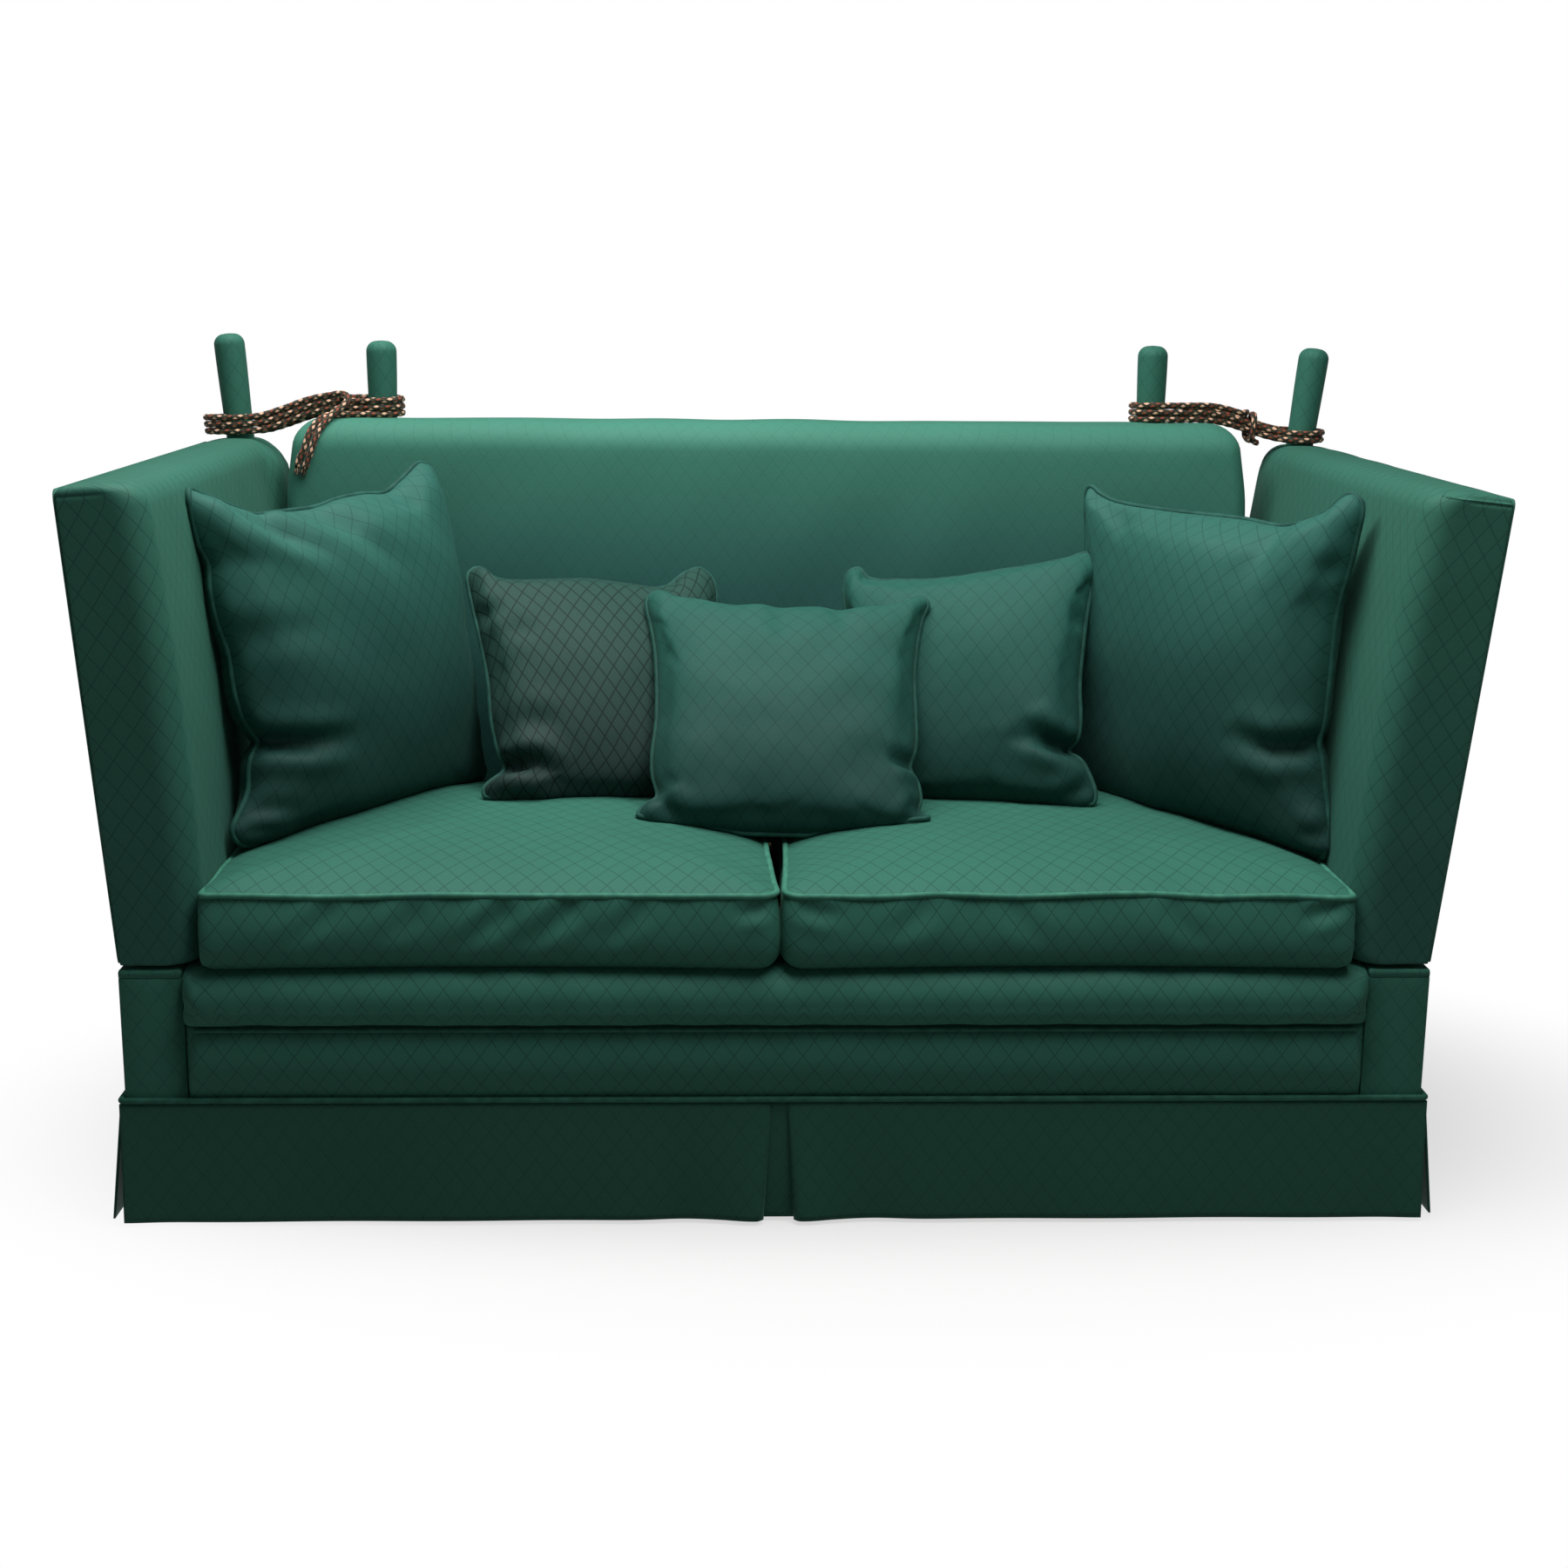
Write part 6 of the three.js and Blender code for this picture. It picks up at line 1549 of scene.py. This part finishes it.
def round_off(first, second, reach):
    """Rounds the corner in which two seams start."""
    corner = first[0].copy()
    seams = (first, second)
    runs = [distances(seam) for seam in seams]
    ends = [places_at(seam, reach) for seam in seams]
    for seam, run, own, other in zip(seams, runs, ends, ends[::-1]):
        near = run < reach
        t = (0.5 + run[near] / reach / 2)[:, None]
        seam[near] = (1 - t) ** 2 * other + 2 * t * (1 - t) * corner + t**2 * own


def pillow_face(u, v, share, square, seams):
    """A face whose rim follows the seams, and whose middle follows them less and less."""
    bottom, right, top, left = (along_seam(seam, (share + 1) / 2) for seam in seams)
    for first, second in ((bottom, left), (bottom[::-1], right), (top, left[::-1]), (top[::-1], right[::-1])):
        round_off(first, second, SCATTER_EAR)
    bottom, top = bottom - square[:, 0], top - square[:, -1]
    left, right = left - square[0], right - square[-1]
    far = ((1 + share) / 2) ** 3
    near = far[::-1]
    pulled = (bottom[:, None] * near[:, None] + top[:, None] * far[:, None]
              + left[None] * near[:, None, None] + right[None] * far[:, None, None])
    for corner, across, up in ((bottom[0], near, near), (bottom[-1], far, near), (top[0], near, far),
                               (top[-1], far, far)):
        pulled -= corner * across[:, None, None] * up[None, :, None]
    return np.moveaxis(square + pulled, 2, 0)


def make_pillow(name, size, thick, slim, seams, steps=72):
    """A pillow from two faces that share their rim; returns it with the order of its rim's points."""
    even = np.linspace(-1, 1, steps + 1)
    share = 0.4 * even + 0.6 * np.sin(math.pi / 2 * even)
    u, v = np.meshgrid(share, share, indexing="ij")
    flat = np.stack([u, v], axis=2) * size / 2
    square = flat + np.array([0, size / 2])
    square[..., 0] -= SCATTER_PULL * (1 - v * v) * u**3
    square[..., 1] -= SCATTER_PULL * (1 - u * u) * v**3
    x, z = pillow_face(u, v, share, square, seams)
    fat = thick / 2 * np.maximum((1 - u * u) * (1 - v * v), 0) ** SCATTER_FULLNESS
    fat = fat * (1 - slim * smooth_step(-u, -0.2, 0.8))
    count = (steps + 1) ** 2
    front = np.arange(count).reshape(steps + 1, steps + 1)
    back = front.copy()
    back[1:-1, 1:-1] = count + np.arange((steps - 1) ** 2).reshape(steps - 1, steps - 1)
    places = np.concatenate([np.stack([x, -fat, z], axis=2).reshape(-1, 3),
                             np.stack([x, fat, z], axis=2)[1:-1, 1:-1].reshape(-1, 3)])
    faces, uvs = [], []
    for index, order in ((front, [0, 3, 2, 1]), (back, [1, 2, 3, 0])):
        faces.append(corners_of(index)[:, :, order].reshape(-1, 4))
        uvs.append(corners_of(flat)[:, :, order].reshape(-1, 2))
    pillow = make_mesh(name, places, np.concatenate(faces), np.concatenate(uvs), merge=False)
    rim = np.concatenate([front[:-1, 0], front[-1, :-1], front[:0:-1, -1], front[0, :0:-1]])
    return pillow, rim


def plump(obj):
    """Blows a pillow up as cloth, so that its faces wrinkle towards their seam; caps how far points move."""
    start = places_of(obj)
    cloth = obj.modifiers.new("cloth", "CLOTH")
    cloth.settings.use_pressure = True
    cloth.settings.uniform_pressure_force = PLUMP_PRESSURE
    cloth.settings.effector_weights.gravity = 0
    cloth.settings.shrink_min = -PLUMP_SLACK
    cloth.settings.tension_stiffness = PLUMP_TENSION
    cloth.settings.bending_stiffness = PLUMP_BENDING
    cloth.point_cache.frame_end = PLUMP_FRAMES
    for frame_number in range(1, PLUMP_FRAMES + 1):
        bpy.context.scene.frame_set(frame_number)
    moved = places_of(obj.evaluated_get(bpy.context.evaluated_depsgraph_get())) - start
    obj.modifiers.remove(cloth)
    bpy.context.scene.frame_set(1)
    far = np.linalg.norm(moved, axis=1)
    set_places(obj, start + moved * (np.minimum(far, PLUMP_LIMIT) / np.maximum(far, 1e-9))[:, None])


def clear_of(places, trees, gap, tree_gap):
    """Moves points that stand in an arm or in a neighbour out to its surface."""
    for side in (-1, 1):
        places = clear_of_arm(places, side, gap)
    return press(places, trees, tree_gap)


def fold(pillow, folds, seed):
    """A pillow's places with folds in its front and uneven cloth all over, both dying out at its rim."""
    places = places_of(pillow)
    rise = sum(ripple(places, length, seed + 20 * k) * high
               for k, (length, high) in enumerate(SCATTER_RIPPLES))
    for line, width, depth in folds:
        rise -= crease(places[:, [0, 2]], line, width * MM, depth * MM) * (places[:, 1] < 0)
    rise = rise * smooth_step(np.abs(places[:, 1]), *SCATTER_FLAT_RIM)
    return places + normals_of(pillow) * rise[:, None]


def make_scatter(key, material, slot, trees, seed):
    """A scatter cushion: blown up, folded, leant in its place and pressed flat by what it leans on."""
    size, thick, foot, turn, lean, roll, slim, *seams, folds = SCATTER[key]
    pillow, rim = make_pillow(key + "_cushion", size * MM, thick * MM, slim, seams)
    plump(pillow)
    places = fold(pillow, folds, seed)
    matrix = np.array(cushion_matrix(foot, turn, lean, roll))
    half = size * MM / 2
    bent = (np.clip(0.5 + places[:, 0] / half / 2, 0, 1) * np.clip(places[:, 2] / half / 2, 0, 1)) ** 2
    places = places @ matrix[:3, :3].T + matrix[:3, 3]
    places += bent[:, None] * np.array(SCATTER_BEND.get(key, (0, 0, 0)))
    places = clear_of(places, trees, SOFT_GAP, SOFT_GAP)
    set_places(pillow, places)
    path = places[rim]
    for _ in range(2):
        path = (np.roll(path, 1, axis=0) + 2 * path + np.roll(path, -1, axis=0)) / 4
    path = clear_of(path, trees, PIPING + SOFT_GAP, PIPING + WELT_GAP)
    # The cushion's piping wears a darker copy of the piping's satin, as painted shade
    dress(tube(key + "_cushion_piping", path, PIPING, closed=True), "cushion_piping", slot=slot)
    dress(pillow, material, "scatter_cushion_" + key, slot=slot, fill=0.7)
    return pillow


def finish_frame():
    """Gives the frame's own pieces, which keep their solids, steel or beech with its grain along them."""
    for name in frame["nodes"]:
        obj = bpy.data.objects.get(name)
        if obj is None or obj.hide_render:
            continue
        low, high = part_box(name)
        size = high - low
        material = ("beech_across", "beech_along", "beech_upright")[max(range(3), key=lambda k: size[k])]
        if "hinge" in name or "spring" in name:
            material = "steel"
        obj.data.materials.clear()
        obj.data.materials.append(MATERIALS[material])


# Floor, light and background
FLOOR_HALF = 12
FLOOR_DROP = 0.5 * MM
SHADOW_SHIFT = (-0.1, 0, 0)
SHADOW_SCALE = (0.62, 1, 1)
FLOOR_NEAR = 0.45
FLOOR_FAR = 1.0
FLOOR_GLOW_NEAR = 0.62
WHITE = (1, 1, 1, 1)
WORLD_LIGHT = 0.07
LAMPS = [
    ("top_light", (-0.1, -0.42, 2.75), (3.0, 1.0), 80, (0, -0.3, 0)),
    ("front_light", (-1.2, -4.2, 1.9), (2.5, 2.0), 4, (0, 0, 0.6)),
]


def make_floor():
    """A pale floor that shows the sofa's soft shadow near it and turns white further off."""
    bpy.ops.object.select_all(action="DESELECT")
    bpy.ops.mesh.primitive_plane_add(size=2 * FLOOR_HALF, location=(0, 0, -FLOOR_DROP))
    floor = bpy.context.active_object
    floor.name = "floor"
    material, shader, add = new_material("pale_floor", Roughness=0.7)
    place = add("TexCoord", {}, "Object")
    drawn_in = add("Mapping", {0: place, 1: SHADOW_SHIFT, 3: SHADOW_SCALE})
    distance = add("VectorMath", {0: drawn_in}, "Value", operation="LENGTH")
    glow_share = add("MapRange", {0: distance, 1: FLOOR_NEAR, 2: FLOOR_FAR, 3: FLOOR_GLOW_NEAR},
                     interpolation_type="SMOOTHSTEP")
    paths = add("LightPath", {}).node.outputs
    seen = add("Math", {0: paths["Is Camera Ray"], 1: paths["Is Glossy Ray"]}, operation="MAXIMUM")
    # What the floor sends back onto the sofa is that of a grey floor; what is seen of it is pale.
    colour = add("Mix", {0: paths["Is Camera Ray"], 6: linear("#6c6c6a"), 7: linear("#f2f2f0")}, 2,
                 data_type="RGBA")
    share = add("Math", {0: glow_share, 1: seen}, operation="MULTIPLY")
    glow = add("Emission", {0: WHITE, 1: 1.0})
    mix = add("MixShader", {0: share, 1: shader.outputs[0], 2: glow})
    links = material.node_tree.links
    output = shader.outputs[0].links[0].to_node
    links.new(colour, shader.inputs["Base Color"])
    links.new(mix, output.inputs[0])
    floor.data.materials.append(material)


def make_world():
    """White where the camera sees it, and weak light from all round."""
    world = bpy.data.worlds.new("studio")
    bpy.context.scene.world = world
    world.use_nodes = True
    world.node_tree.nodes.clear()
    add = partial(node, world.node_tree)
    paths = add("LightPath", {}).node.outputs
    seen = add("Math", {0: paths["Is Camera Ray"], 1: paths["Is Transmission Ray"]}, operation="MAXIMUM")
    dim, white = (add("Background", {0: WHITE, 1: strength}) for strength in (WORLD_LIGHT, 1.0))
    mix = add("MixShader", {0: seen, 1: dim, 2: white})
    output = world.node_tree.nodes.new("ShaderNodeOutputWorld")
    world.node_tree.links.new(mix, output.inputs[0])


def make_lamps():
    """A large soft light above the front of the sofa, and a weak one in front of it."""
    for name, place, sizes, power, target in LAMPS:
        data = bpy.data.lights.new(name, "AREA")
        data.shape = "RECTANGLE"
        data.size, data.size_y = sizes
        data.energy = power
        lamp = bpy.data.objects.new(name, data)
        bpy.context.scene.collection.objects.link(lamp)
        lamp.location = place
        lamp.rotation_euler = (Vector(target) - Vector(place)).to_track_quat("-Z", "Y").to_euler()
    bpy.context.scene.view_settings.view_transform = "Standard"


# The whole sofa
make_rope("left_rope", left_route(), True)
make_rope("right_rope", right_route(), False)
for side, name in SIDES:
    make_arm_padding(side, name)
    make_arm_outside(side, name)
    make_base_cover(side, name)
    make_posts(side, name)
make_front_border()
make_lip()
make_deck()
make_skirt()
make_skirt_piping()
trees = [tree_of(make_back())]
make_outside_back()
trees += [tree_of(make_seat_cushion(side, name)) for side, name in SIDES]
for seed, (key, material, slot) in enumerate((
        ("large_left", "satin", "velvet"), ("small_left", "patterned", "patterned_velvet"),
        ("small_right", "small_satin", "velvet"), ("large_right", "satin", "velvet"),
        ("centre", "small_satin", "velvet")), 60):
    trees.append(tree_of(make_scatter(key, material, slot, trees, seed)))
finish_frame()
make_floor()
make_world()
make_lamps()
